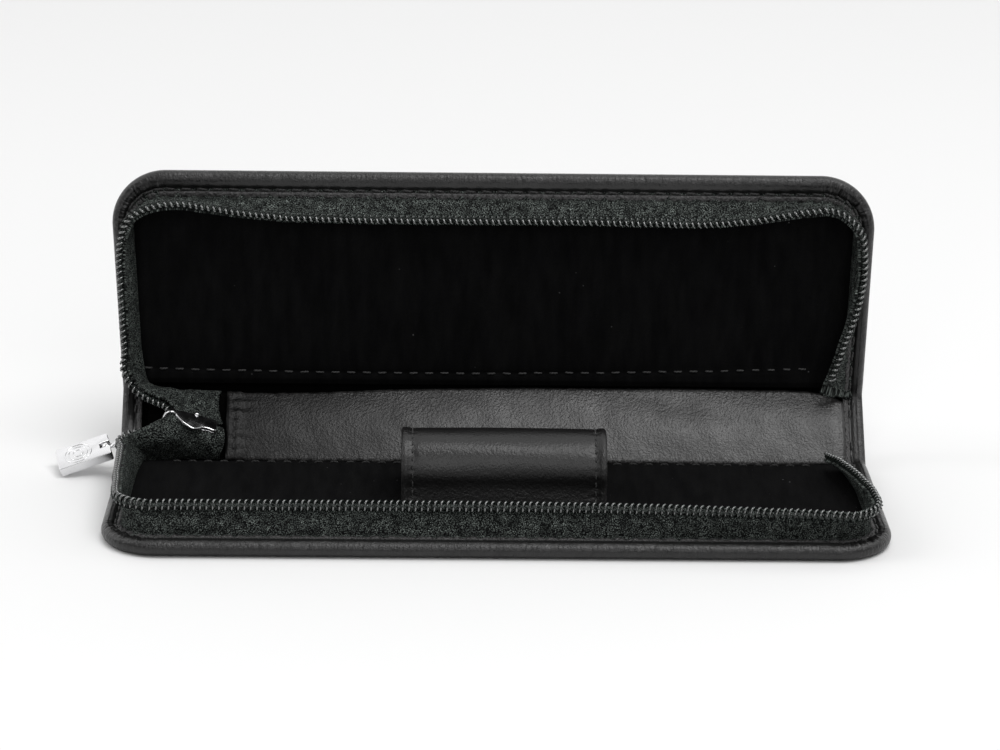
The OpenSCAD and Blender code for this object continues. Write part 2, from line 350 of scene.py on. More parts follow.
def outline(side_step=0.825, corner_step=0.2, front_step=0.55):
    """Stations round a panel, from the middle of the spine's right edge to its left edge:
    their places (x, v), outward normals, and distances run from the right-hand crease."""
    spine_v = np.arange(PANEL_DEPTH + SPINE_WIDTH / 2, PANEL_DEPTH, -side_step)
    right = [(SPINE_HALF, v, 1, 0) for v in spine_v]
    centre = HALF_LEN - CORNER_R
    n = (math.cos(TAPER), math.sin(TAPER))
    arc_v = CORNER_R + CORNER_R * n[1]
    side_count = int((PANEL_DEPTH - arc_v) / side_step)
    for v in np.linspace(PANEL_DEPTH, arc_v, side_count, endpoint=False):
        right.append((SPINE_HALF + (PANEL_DEPTH - v) * math.tan(TAPER), v, *n))
    steps = int(CORNER_R * math.pi / 2 / corner_step)
    for a in np.linspace(TAPER, -math.pi / 2, steps + 1):
        right.append((centre + CORNER_R * math.cos(a), CORNER_R + CORNER_R * math.sin(a),
                      math.cos(a), math.sin(a)))
    front_count = int(2 * centre / front_step)
    front = [(x, 0, 0, -1) for x in np.linspace(centre, -centre, front_count)[1:-1]]
    left = [(-x, v, -nx, nv) for x, v, nx, nv in reversed(right)]
    all_stations = np.array(right + front + left, float)
    place, normal = all_stations[:, :2], all_stations[:, 2:]
    run = run_along(place)
    run -= SPINE_WIDTH / 2
    return place, normal, run, len(right), len(front)


ARC_LEN = CORNER_R * math.pi / 2
ROUND_LEN = outline()[2][-1] - SPINE_WIDTH / 2
FRONT_LEN = 2 * (HALF_LEN - CORNER_R)
TO_CORNER = (FRONT_LEN + ARC_LEN) / 2
CORNER_RUNS = (ROUND_LEN / 2 - TO_CORNER, ROUND_LEN / 2 + TO_CORNER)


def corner_share(run):
    """How far a station lies within a rounded corner, from 0 to 1."""
    share = np.zeros_like(run)
    for middle in CORNER_RUNS:
        share = np.maximum(share, 1 - ((run - middle) / (ARC_LEN / 2 + 2.5)) ** 2)
    return np.clip(share, 0, 1)


def narrowing(run):
    """The turned edge is narrower along the sides and the spine's ends than at the front."""
    into_side = np.abs(run - ROUND_LEN / 2) - FRONT_LEN / 2
    return 1 - (1 - SIDE_SHARE) * soft(into_side / ARC_LEN)


# ---- Materials ----
def grey(value):
    return (value, value, value)


def brighter(colour, factor):
    return tuple(factor * c for c in colour)


class Finish:
    """A procedural material, built node by node."""

    def __init__(self, name):
        self.material = bpy.data.materials.new(name)
        self.material.use_nodes = True
        self.tree = self.material.node_tree
        self.shader = self.tree.nodes["Principled BSDF"]

    def feed(self, socket, value):
        if isinstance(value, bpy.types.NodeSocket):
            self.tree.links.new(value, socket)
        else:
            socket.default_value = value

    def node(self, kind, inputs=(), output=0, **settings):
        made = self.tree.nodes.new("ShaderNode" + kind)
        for key, value in settings.items():
            setattr(made, key, value)
        for key, value in dict(inputs).items():
            self.feed(made.inputs[key], value)
        return made.outputs[output]

    def flat(self):
        """Millimetres along and across the uncut material, and the third coordinate, for rubbing
        and painted highlight.
        """
        return self.node("Attribute", output="Vector", attribute_name="flat")

    def part(self, vector, axis):
        return self.node("SeparateXYZ", {"Vector": vector}, output=axis)

    def wear_and_highlight(self):
        return self.part(self.flat(), "Z")

    def position(self, per_mm=1.0):
        spot = self.node("TexCoord", output="Object")
        return self.node("VectorMath", {0: spot, "Scale": 1000.0 * per_mm}, operation="SCALE")

    def noise(self, vector, scale, detail=2.0, rough=0.5, output="Fac"):
        return self.node("TexNoise", {"Vector": vector, "Scale": scale, "Detail": detail,
                                      "Roughness": rough}, output=output)

    def cells(self, vector, scale, randomness=1.0, feature="F1", output="Distance"):
        return self.node("TexVoronoi", {"Vector": vector, "Scale": scale, "Randomness": randomness},
                         output=output, feature=feature)

    def math(self, operation, a, b=0.0):
        return self.node("Math", {0: a, 1: b}, operation=operation)

    def plus(self, a, b):
        return self.math("ADD", a, b)

    def minus(self, a, b):
        return self.math("SUBTRACT", a, b)

    def times(self, a, b):
        return self.math("MULTIPLY", a, b)

    def stretched(self, vector, factors):
        return self.node("VectorMath", {0: vector, 1: factors}, operation="MULTIPLY")

    def wandering(self, vector, scale):
        """The same place, shifted by up to a millimetre of smooth noise."""
        shift = self.noise(vector, scale, output="Color")
        return self.node("VectorMath", {0: vector, 1: shift}, operation="ADD")

    def drawn_noise(self, vector, factors, detail=3):
        """Noise drawn out along the axes with the smaller factors."""
        return self.noise(self.stretched(vector, factors), 1.0, detail=detail)

    def span(self, value, low, high, to_low=0.0, to_high=1.0):
        return self.node("MapRange", {"Value": value, "From Min": low, "From Max": high,
                                      "To Min": to_low, "To Max": to_high})

    def mix(self, share, a, b):
        made = self.tree.nodes.new("ShaderNodeMix")
        made.data_type = "RGBA"
        self.feed(made.inputs[0], share)
        self.feed(made.inputs[6], (*a, 1) if isinstance(a, tuple) else a)
        self.feed(made.inputs[7], (*b, 1) if isinstance(b, tuple) else b)
        return made.outputs[2]

    def bump(self, height, depth_mm, strength=1.0, under=None):
        inputs = {"Height": height, "Distance": depth_mm * MM, "Strength": strength}
        if under is not None:
            inputs["Normal"] = under
        return self.node("Bump", inputs)

    def shade(self, **sockets):
        for key, value in sockets.items():
            self.feed(self.shader.inputs[key.replace("_", " ")], value)
        return self.material


def leather_finish(name, grain_per_mm, grain_depth, dark, light, roughness, crease_depth=0.05,
                   shine=0.5, shaded_to=None):
    """Dyed leather: fine cell grain, broad uneven sheen, and looks that follow the third flat
    coordinate: paler where it nears 1 on an edge, partly from rubbing and partly a painted
    highlight on the bead's top; crinkled where it is 2 on the turned margin, with a painted
    highlight on the crinkles that also stands for rubbing; dark and dull where it is FLESH_SIDE.
    Painted shade darkens it and dulls its shine towards the place shaded_to."""
    f = Finish(name)
    flat = f.flat()
    wear_and_highlight = f.wear_and_highlight()
    bent = f.wandering(flat, 0.9)
    grain = f.cells(bent, grain_per_mm, feature="SMOOTH_F1")
    pores = f.noise(flat, grain_per_mm * 1.7, detail=3)
    broad = f.noise(flat, 0.11, detail=3, rough=0.6)
    height = f.plus(f.times(grain, -0.8), f.times(pores, 0.6))
    margin = f.span(wear_and_highlight, 1.1, 1.9)
    crinkle = f.noise(flat, 1.5, detail=3, rough=0.65)
    height = f.plus(height, f.times(margin, f.times(crinkle, 4.8)))
    streaks = f.drawn_noise(bent, (1.9, 0.3, 1.0))
    height = f.plus(height, f.times(streaks, f.span(wear_and_highlight, 0.0, 0.35, 0.0, 4.0)))
    normal = f.bump(height, grain_depth)
    normal = f.bump(broad, crease_depth, under=normal)

    rubbed_and_highlit_edge = f.math("MINIMUM", wear_and_highlight, 1.0)
    worn_and_highlit = f.times(rubbed_and_highlit_edge, f.span(f.noise(flat, 0.6, detail=4), 0.35, 0.75))
    colour = f.mix(f.span(f.plus(broad, f.times(pores, 0.3)), 0.5, 0.85), dark, light)
    flesh = f.span(wear_and_highlight, -0.5, -1.5)
    colour = f.mix(flesh, colour, grey(0.002))
    if shaded_to is not None:
        # Painted shade: the colour darkens and the shine dulls towards shaded_to.
        painted_shade = f.span(f.part(flat, "X"), shaded_to, 0.0, 1.0, 0.0)
        colour = f.mix(painted_shade, colour, brighter(dark, 0.25))
        shade_dimmed_shine = f.minus(1.0, f.times(painted_shade, 0.7))
    # Painted highlight on the bead's top, partly also real rubbing: the edge is paled.
    colour = f.mix(f.times(worn_and_highlit, 0.6), colour, brighter(light, 6.0))
    # Painted highlight on the tops of the margin's crinkles, which also stands for rubbing.
    lit_and_rubbed_crinkles = f.times(margin, f.span(crinkle, 0.40, 0.58))
    colour = f.mix(f.times(lit_and_rubbed_crinkles, 0.75), colour, brighter(light, 13.0))

    rough = f.minus(f.span(broad, 0.3, 0.7, roughness + 0.06, roughness - 0.05),
                    f.times(worn_and_highlit, 0.05))
    rough = f.plus(rough, f.times(flesh, 0.6))
    shine = f.minus(shine, f.times(flesh, shine))
    if shaded_to is not None:
        shine = f.times(shine, shade_dimmed_shine)
    return f.shade(Base_Color=colour, Roughness=rough, Normal=normal, Specular_IOR_Level=shine)


def velvet_finish():
    """Short dense pile: near black, a faint edge sheen, streaks of leaning pile, and lint."""
    f = Finish("velvet")
    spot = f.position()
    pile = f.noise(spot, 5.0, detail=2)
    streak = f.drawn_noise(spot, (0.5, 0.12, 0.12))
    lint = f.span(f.cells(spot, 0.34), 0.06, 0.04)
    lint = f.times(lint, f.span(f.noise(spot, 0.16), 0.5, 0.6))
    colour = f.mix(f.span(streak, 0.3, 0.8), (0.0036, 0.0036, 0.0038), (0.0068, 0.0068, 0.007))
    colour = f.mix(f.times(lint, 0.5), colour, grey(0.16))
    return f.shade(Base_Color=colour, Roughness=1.0, Normal=f.bump(pile, 0.12),
                   Specular_IOR_Level=0.0, Sheen_Weight=0.012, Sheen_Roughness=0.5)


def tape_finish():
    """Woven polyester: knots of yarn, about 3 to a millimetre, over a dark ground, with painted
    glints on the knots.
    """
    f = Finish("zip_tape")
    flat = f.flat()
    wave = f.wandering(flat, 0.8)
    knots = f.span(f.cells(f.stretched(wave, (3.5, 3.2, 1.0)), 1.0, randomness=0.7), 0.55, 0.15)
    ribs = f.math("SINE", f.times(f.part(wave, "X"), 5.0))
    fuzz = f.noise(flat, 5.0, detail=3)
    patch = f.span(f.noise(flat, 0.5, detail=2), 0.35, 0.65, 0.3, 1.0)
    height = f.plus(f.plus(knots, f.times(fuzz, 0.5)), f.times(ribs, 0.12))
    # Painted glints: pale colour on the yarn knots stands in for their highlights.
    painted_glints = f.times(f.times(knots, patch), f.span(fuzz, 0.3, 0.65))
    colour = f.mix(painted_glints, (0.003, 0.0035, 0.0035), (0.38, 0.43, 0.40))
    return f.shade(Base_Color=colour, Roughness=0.8, Normal=f.bump(height, 0.1),
                   Specular_IOR_Level=0.1)


def coil_finish():
    """Glossy nylon monofilament, a dark grey with a touch of green."""
    f = Finish("zip_coil")
    spot = f.position()
    shade = f.noise(spot, 0.8, detail=2)
    colour = f.mix(shade, (0.006, 0.009, 0.0075), (0.018, 0.024, 0.021))
    rough = f.span(f.noise(spot, 2.5), 0.3, 0.7, 0.11, 0.2)
    return f.shade(Base_Color=colour, Roughness=rough, Normal=f.bump(f.noise(spot, 6.0), 0.008),
                   Specular_IOR_Level=1.0, IOR=1.8)


def thread_finish(name, dark, light):
    """Twisted sewing thread: strands wind round along the flat coordinate."""
    f = Finish(name)
    along = f.part(f.flat(), "X")
    around = f.part(f.flat(), "Y")
    twist = f.math("SINE", f.plus(f.times(along, 9.0), f.times(around, 2.0)))
    strand = f.span(twist, -1.0, 1.0)
    fuzz = f.noise(f.position(), 7.0, detail=2)
    colour = f.mix(f.times(strand, fuzz), dark, light)
    return f.shade(Base_Color=colour, Roughness=0.62, Normal=f.bump(strand, 0.06),
                   Specular_IOR_Level=0.4, Sheen_Weight=0.1)


def metal_finish():
    """Polished plated metal with faint wiping marks."""
    f = Finish("metal")
    spot = f.position()
    wiped = f.drawn_noise(spot, (0.6, 5.0, 5.0))
    cloud = f.noise(spot, 0.5, detail=3)
    rough = f.plus(f.span(cloud, 0.35, 0.7, 0.1, 0.2), f.times(wiped, 0.05))
    colour = f.mix(cloud, (0.70, 0.70, 0.71), (0.82, 0.82, 0.83))
    return f.shade(Base_Color=colour, Metallic=1.0, Roughness=rough, Normal=f.bump(wiped, 0.004))


def board_finish():
    """Bookbinder's board with short fibres, coloured near black."""
    f = Finish("board")
    fibre = f.drawn_noise(f.position(), (0.5, 3.0, 3.0), detail=4)
    colour = f.mix(fibre, grey(0.0015), (0.004, 0.0038, 0.0036))
    return f.shade(Base_Color=colour, Roughness=1.0, Normal=f.bump(fibre, 0.03),
                   Specular_IOR_Level=0.0)


def floor_finish():
    """A plain pale floor."""
    f = Finish("floor")
    tone = f.noise(f.position(), 0.004, detail=1)
    colour = f.mix(tone, grey(0.81), grey(0.82))
    return f.shade(Base_Color=colour, Roughness=0.9, Specular_IOR_Level=0.1)


leather = leather_finish("leather", 1.9, 0.06, (0.0035, 0.0033, 0.0034),
                         (0.0075, 0.0073, 0.0074), 0.35)
# The strip's leather gets painted shade that darkens it towards its left end.
strip_leather = leather_finish("strip_leather", 2.1, 0.10, (0.008, 0.0077, 0.0077),
                               (0.024, 0.0235, 0.0235), 0.38, crease_depth=0.14,
                               shine=0.68, shaded_to=STRIP_LEFT)
velvet = velvet_finish()
tape_weave = tape_finish()
nylon = coil_finish()
edge_thread = thread_finish("thread", grey(0.012), grey(0.060))
lining_thread = thread_finish("lining_thread", grey(0.016), grey(0.075))
hidden_thread = thread_finish("hidden_thread", grey(0.004), grey(0.018))
coil_thread = thread_finish("coil_thread", (0.008, 0.011, 0.010), (0.055, 0.068, 0.060))
metal = metal_finish()
greyboard = board_finish()


# ---- Leather covers ----
def rim_profile():
    """Section of the turned leather: (inset, z) from the outer face, round the edge and over the
    board to the margin's lip, then back beneath."""
    outer = [(BED_INSET, 0.0), (3.6, 0.0)]
    r = BEAD_TOP / 2
    for a in np.linspace(-90, -270, 15):
        t = math.radians(a)
        outer.append((r * BEAD_WIDEN * (1 + math.cos(t)), r + r * math.sin(t)))
    for inset in np.arange(2.1, MARGIN_INSET - 0.2, 0.22):
        z = BEAD_TOP - 0.15 * ((inset - 1.75) / 2) ** 2
        z -= GROOVE_DEPTH * hump(inset, GROOVE_INSET, 0.55)
        outer.append((inset, z))
    lip = outer[-1][1]
    outer += [(MARGIN_INSET - 0.05, lip - 0.1), (MARGIN_INSET + 0.05, lip - 0.32)]
    inner = [(MARGIN_INSET - 0.1, lip - 0.5), (3.0, 2.5), (1.5, 2.35), (0.95, 1.9), (0.9, 1.1),
             (1.4, LEATHER_T), (BED_INSET, LEATHER_T)]
    return np.array(outer), np.array(inner)


def rim_wrinkles(run, inset):
    """How far the turned leather rises or sinks: gathers in the corners, stitch dimples in the
    groove and small puckers in the margin."""
    corner = corner_share(run)
    reach = np.clip(np.sin(math.pi * np.clip((inset - 0.3) / 5.6, 0, 1)), 0, 1)
    phase = (run / GATHER_PITCH + 0.9 * ripple(run, 3, (5.1, 3.3))
             + 0.16 * (inset - 2) * ripple(run, 13, (8.0, 5.3)))
    pleat = 0.5 - np.abs(np.sin(math.pi * phase))
    uneven = 1 + 0.6 * ripple(run, 23, (2.9, 4.7))
    fine = ripple(run + 0.3 * inset, 8, (1.3, 2.1, 0.9))
    gathers = corner**1.4 * reach**1.2 * (GATHER_RISE * pleat * uneven + 0.1 * fine)
    pull = np.cos(2 * math.pi * run / STITCH_PITCH)
    dimple = -0.12 * pull * hump(inset, GROOVE_INSET, 0.7)
    lip = soft((inset - 4.0) / 0.8)
    pucker = lip * (0.16 * ripple(run, 21, (2.7, 4.9, 1.9)) - 0.08 * pull)
    slack = 0.05 * ripple(run, 5, (19.0, 11.0, 31.0)) * hump(inset, 1.8, 1.2)
    return gathers + dimple + pucker + slack


def spine_thinning(v, z):
    """The cover is thinner in the spine, where there is no board."""
    share = soft((v - PANEL_DEPTH + 1.5) / 4.0)
    return np.where(z > LEATHER_T, LEATHER_T + (z - LEATHER_T) * (1 - 0.5 * share), z)


def cover_rim(place, normal, run, profile, outer_count):
    """The turned leather round a panel: its points (x, v, z) and their flat coordinates."""
    n, m = len(place), len(profile)
    inset, z = np.tile(profile[:, 0], (n, 1)), np.tile(profile[:, 1], (n, 1))
    runs = np.tile(run[:, None], (1, m))
    top = slice(8, outer_count)
    z[:, top] += rim_wrinkles(runs[:, top], inset[:, top]) * soft((z[:, top] - 1.2) / 1.6)
    drawn_in = inset * narrowing(runs)
    x = place[:, 0:1] - drawn_in * normal[:, 0:1]
    v = place[:, 1:2] - drawn_in * normal[:, 1:2]
    # Third flat coordinate: the bead's top paled, partly from rubbing and partly a painted
    # highlight; 2 on the margin, whose crinkles get a painted highlight.
    worn_and_highlit = hump(inset, 0.9, 0.8) * (z > 0.9) + 2.0 * (inset > 4.15) * (z > 2.4)
    worn_and_highlit[:, -2:] = FLESH_SIDE
    step = (np.abs(np.diff(z, axis=1, prepend=z[:, :1]))
            + np.abs(np.diff(inset, axis=1, prepend=inset[:, :1])))
    return columns(x, v, spine_thinning(v, z)), columns(runs, np.cumsum(step, axis=1), worn_and_highlit)


def cover_faces(n, m, n_side, n_front):
    """Faces of a cover: the rim's grid, the outer face inside the rim with one row for each pair
    of side stations, the hidden inner face, and the cut across the spine."""
    right, left = np.arange(n_side), n - 1 - np.arange(n_side)
    ids = np.zeros((n_side, n_front + 2), int)
    ids[:, 0], ids[:, -1] = right * m, left * m
    ids[-1, 1:-1] = (n_side + np.arange(n_front)) * m
    ids[:-1, 1:-1] = n * m + np.arange((n_side - 1) * n_front).reshape(n_side - 1, n_front)
    faces = grid_faces(n, m)
    for i in range(n_side - 1):
        for j in range(n_front + 1):
            faces.append((ids[i, j], ids[i, j + 1], ids[i + 1, j + 1], ids[i + 1, j]))
    deep_r, deep_l = right * m + m - 1, left * m + m - 1
    for i in range(n_side - 2):
        faces.append((deep_r[i], deep_r[i + 1], deep_l[i + 1], deep_l[i]))
    front_ids = [(n_side + k) * m + m - 1 for k in range(n_front)]
    faces.append((deep_r[-2], deep_r[-1], *front_ids, deep_l[-1], deep_l[-2]))
    faces.append((*range(m), *[left[0] * m + k for k in reversed(range(m))], *ids[0, -2:0:-1]))
    return [tuple(int(i) for i in face) for face in faces]


def panel_cover(side, nodes):
    """One half of the outer leather: a panel with its turned edge, and half of the spine."""
    place, normal, run, n_side, n_front = outline()
    outer, inner = rim_profile()
    profile = np.vstack([outer, inner])
    n, m = len(place), len(profile)
    rim, rim_flat = cover_rim(place, normal, run, profile, len(outer))
    share = ((np.arange(n_front) + 1) / (n_front + 1))[None, :, None]
    ends_r = rim[np.arange(n_side - 1) * m][:, None]
    ends_l = rim[(n - 1 - np.arange(n_side - 1)) * m][:, None]
    bed = (ends_r * (1 - share) + ends_l * share).reshape(-1, 3)
    bed_flat = columns(bed[:, 0], bed[:, 1] + 300.0, np.zeros(len(bed)))
    piece = make_piece(side + "_outer_leather", SIDES[side](np.vstack([rim, bed])),
                       cover_faces(n, m, n_side, n_front), leather,
                       np.vstack([rim_flat, bed_flat]))
    cap = max(piece.data.polygons, key=lambda face: len(face.vertices))
    for loop in cap.loop_indices:
        piece.data.edges[piece.data.loops[loop].edge_index].use_edge_sharp = True
    settle(piece, "leather", *nodes)
    bend_leather(piece, side)


def stitch_tubes(shape, centre, along, up, length, radius, rise=0.16, sink=0.2):
    """Adds one thread stitch, bowed up in the middle with its ends in the leather."""
    steps, sides = 9, 7
    t = np.linspace(-1, 1, steps)
    path = centre + np.outer(t * length / 2, along) + np.outer(rise - (rise + sink) * t**4, up)
    ways = [np.tile(way, (steps, 1)) for way in (np.cross(along, up), up)]
    points, faces = tube(path, *ways, radius, radius, sides=sides)
    flat = columns(np.repeat(t * length / 2, sides) + centre[0],
                   np.tile(np.arange(sides) * 0.9, steps), np.zeros(len(points)))
    shape.add(points, faces, flat)


def edge_stitching(side, nodes):
    """Stitches in the groove, round the panel and half way along the spine's ends."""
    place, normal, run, _, _ = outline()
    shape = Shape()
    first = math.ceil((run[0] + END_GAP) / STITCH_PITCH)
    last = math.floor((run[-1] - END_GAP) / STITCH_PITCH - 0.5)
    draw = np.random.RandomState(17)
    for k in range(first, last + 1):
        at = (k + 0.5) * STITCH_PITCH
        here = np.array([np.interp(at, run, place[:, i]) for i in (0, 1)])
        n = unit(np.array([np.interp(at, run, normal[:, i]) for i in (0, 1)]))
        spot = here - n * GROOVE_INSET * float(narrowing(np.array([at]))[0])
        z = BEAD_TOP - GROOVE_DEPTH - 0.08
        z = float(spine_thinning(np.array([here[1]]), np.array([z]))[0])
        slant = math.radians(draw.uniform(3, 9))
        along = np.array([-n[1], n[0], 0.0])
        inward = np.array([-n[0], -n[1], 0.0])
        along = math.cos(slant) * along + math.sin(slant) * inward
        stitch_tubes(shape, np.array([*spot, z]), along, UP, STITCH_LEN, 0.24)
    piece = shape.piece(side + "_edge_thread", edge_thread, place=SIDES[side])
    settle(piece, "thread", *nodes)
    bend_leather(piece, side)


# ---- Velvet linings ----
def card_faces(rows, cols):
    """The border of a grid of points, and the faces of a card with that grid on top. The
    border's points are repeated below it, and each face underneath joins opposite ones."""
    border = ([j for j in range(cols)] + [i * cols + cols - 1 for i in range(1, rows)]
              + [(rows - 1) * cols + j for j in range(cols - 2, -1, -1)]
              + [i * cols for i in range(rows - 2, 0, -1)])
    count, size = rows * cols, len(border)
    faces = grid_faces(rows, cols)
    faces += [(border[k], border[(k + 1) % size], count + (k + 1) % size, count + k)
              for k in range(size)]
    low = {b: count + k for k, b in enumerate(border)}
    faces.append(tuple(low[j] for j in range(cols)) + (low[2 * cols - 1], low[cols]))
    for i in range(1, rows - 2):
        faces.append((low[i * cols], low[i * cols + cols - 1],
                      low[(i + 1) * cols + cols - 1], low[(i + 1) * cols]))
    faces.append((low[(rows - 2) * cols], low[(rows - 2) * cols + cols - 1],
                  *[low[(rows - 1) * cols + j] for j in range(cols - 1, -1, -1)]))
    return border, faces


def lining(side, node, stitch_node):
    """A velvet-covered card, glued in and sewn down along its rear edge."""
    edge_inset = 6.1
    side_inset = 4.5
    rear = PANEL_DEPTH - 1.4
    bottom = 2.05
    top = PANEL_T
    cols = 90
    front = np.linspace(0, 1, 40) ** 1.5
    vs = edge_inset + (rear - edge_inset) * front
    vs = np.unique(np.concatenate([vs, np.linspace(rear - 3.4, rear, 18)]))
    centre = HALF_LEN - CORNER_R
    wide, deep = CORNER_R - side_inset, CORNER_R - edge_inset
    first_seam, drift, left_end = (2.75, 1.0, -22) if side == "lid" else (1.5, 0.0, -20)

    def seam_line(x):
        share = x / 70
        return rear - first_seam - drift * (1.08 * share**2 + 0.53 * share)

    def half_width(v):
        straight = centre + (wide - (v - CORNER_R) * math.sin(TAPER)) / math.cos(TAPER)
        curved = centre + wide * np.sqrt(np.clip(1 - ((CORNER_R - v) / deep) ** 2, 0, None))
        return np.where(v < CORNER_R, curved, straight)

    u = np.sin(np.linspace(-1, 1, cols) * math.pi / 2 * 0.96) / math.sin(math.pi / 2 * 0.96)
    x = half_width(vs)[:, None] * u[None, :]
    v = np.tile(vs[:, None], (1, cols))
    from_side = half_width(vs)[:, None] - np.abs(x)
    from_edge = np.minimum(np.minimum(from_side, v - edge_inset), rear - v)
    crown = 0.12 * soft(from_edge / 12)
    roll = 0.5 * (1 - soft(from_edge / 1.4))
    seam = 0.28 * hump(v, seam_line(x), 0.55) * (np.abs(x + 3.5) < 70.5)
    waves = 0.05 * ripple(x * 0.7 + v * 0.5, 9, (23.0, 37.0)) * soft(from_edge / 6)
    z = top + crown - roll - seam + waves
    upper = columns(x, v, z)
    border, faces = card_faces(len(vs), cols)
    lower = upper[border].copy()
    lower[:, 2] = bottom
    points = SIDES[side](np.vstack([upper, lower]))
    piece = make_piece(side + "_velvet", points, faces, velvet)
    settle(piece, "velvet", node, body=side)

    shape = Shape()
    draw = np.random.RandomState(29)
    for k in range(left_end, 21):
        slant = math.radians(draw.uniform(-4, 4))
        seam_v = seam_line(np.array([k * STITCH_PITCH]))[0] + draw.uniform(-0.06, 0.06)
        centre_point = np.array([k * STITCH_PITCH - 0.5, seam_v, top - 0.14])
        along = np.array([math.cos(slant), math.sin(slant), 0.0])
        stitch_tubes(shape, centre_point, along, UP, 1.75, 0.19, rise=0.1, sink=0.18)
    thread = shape.piece(side + "_lining_thread", lining_thread if side == "lid" else hidden_thread,
                         place=SIDES[side])
    settle(thread, "thread", stitch_node, body=side)


# ---- Zip: tapes and coils ----
def joint_axis(name):
    return unit(np.array(joints[name]["axis"], float))


def axes_of(x_axis, y_axis):
    """The three axes of a frame, one to a row."""
    x_axis, y_axis = unit(x_axis), unit(y_axis)
    return np.array([x_axis, y_axis, np.cross(x_axis, y_axis)])


def turned_to(axis, way):
    """The axis or its opposite, whichever points the given way."""
    return axis if np.dot(axis, way) > 0 else -axis


BRIDGE_EYE = np.array([-4.7, 0.0, -2.5])
BACKWARDS = np.array([0.0, 1, 0])
nose_axis = joint_axis("slider_travel")
across_axis = turned_to(unit(np.cross(nose_axis, [1.0, 0, 0])), BACKWARDS)
SLIDER_AXES = axes_of(-nose_axis, across_axis)
SLIDER_AT = joint_point("link_swing") - BRIDGE_EYE @ SLIDER_AXES


def in_slider(p):
    return SLIDER_AT + np.asarray(p, float) @ SLIDER_AXES


# Where each coil's free edge runs: distance run from the right-hand crease, and the inset of
# the coil's edge there. The tapes are slack, so they lean in and out along the panel.
LEANS = {
    "base": [(5.5, 10.2), (12, 8.5), (18.7, 6.6), (25, 5.0), (31.6, 3.3), (36, 2.9), (45, 2.4),
             (54, 3.4), (74, 4.7), (95, 6.1), (122, 7.1), (150, 7.2), (172, 7.0), (191, 6.7),
             (200, 5.2), (208, 3.0), (219, 1.8), (236, 0.8)],
    "lid": [(-2.5, 10.0), (1.5, 9.4), (4, 8.4), (10, 6.3), (16, 4.5), (20, 3.2), (30, 2.2),
            (36, 3.4), (42, 5.0), (47, 5.7), (52, 6.0), (56, 6.4), (62, 7.6),
            (69, 9.0), (76, 9.9), (84, 10.1), (92, 9.9), (104, 9.7),
            (122, 9.7), (152, 9.6), (166, 9.1), (174, 8.2), (187, 6.1),
            (198, 5.8), (206, 3.4), (212, 1.6), (224, 1.0), (236, 1.0)],
}
# How the coils leave the panel's left side for the slider, (x, y, z) in the case's own frame
RUN_IN = {
    "base": [(-78.1, 17.4, 8.2), (-77.2, 19.6, 8.5), (-75.4, 20.7, 8.7), (-73.2, 21.0, 9.1),
             (-70.9, 21.5, 9.9), (-69.0, 22.7, 10.5)],
    "lid": [(-77.7, 30.3, 19.6), (-76.8, 30.0, 17.5), (-75.5, 29.7, 15.7), (-74.0, 29.4, 14.5),
            (-71.7, 28.8, 13.5), (-69.0, 27.8, 12.7)],
}
# Where the tape's sewn edge runs meanwhile, by the share of the way: (x, v, z) on the panel,
# along the margin's lip and then along the crease
ROOT_RUN = [(0.12, (-73.9, 43.6, 2.7)), (0.24, (-72.9, 46.4, 2.5)), (0.40, (-70.3, 47.7, 2.2)),
            (0.60, (-66.0, 48.1, 2.0)), (0.85, (-61.0, 48.2, 1.9)), (1.0, (-57.7, 48.2, 1.8))]


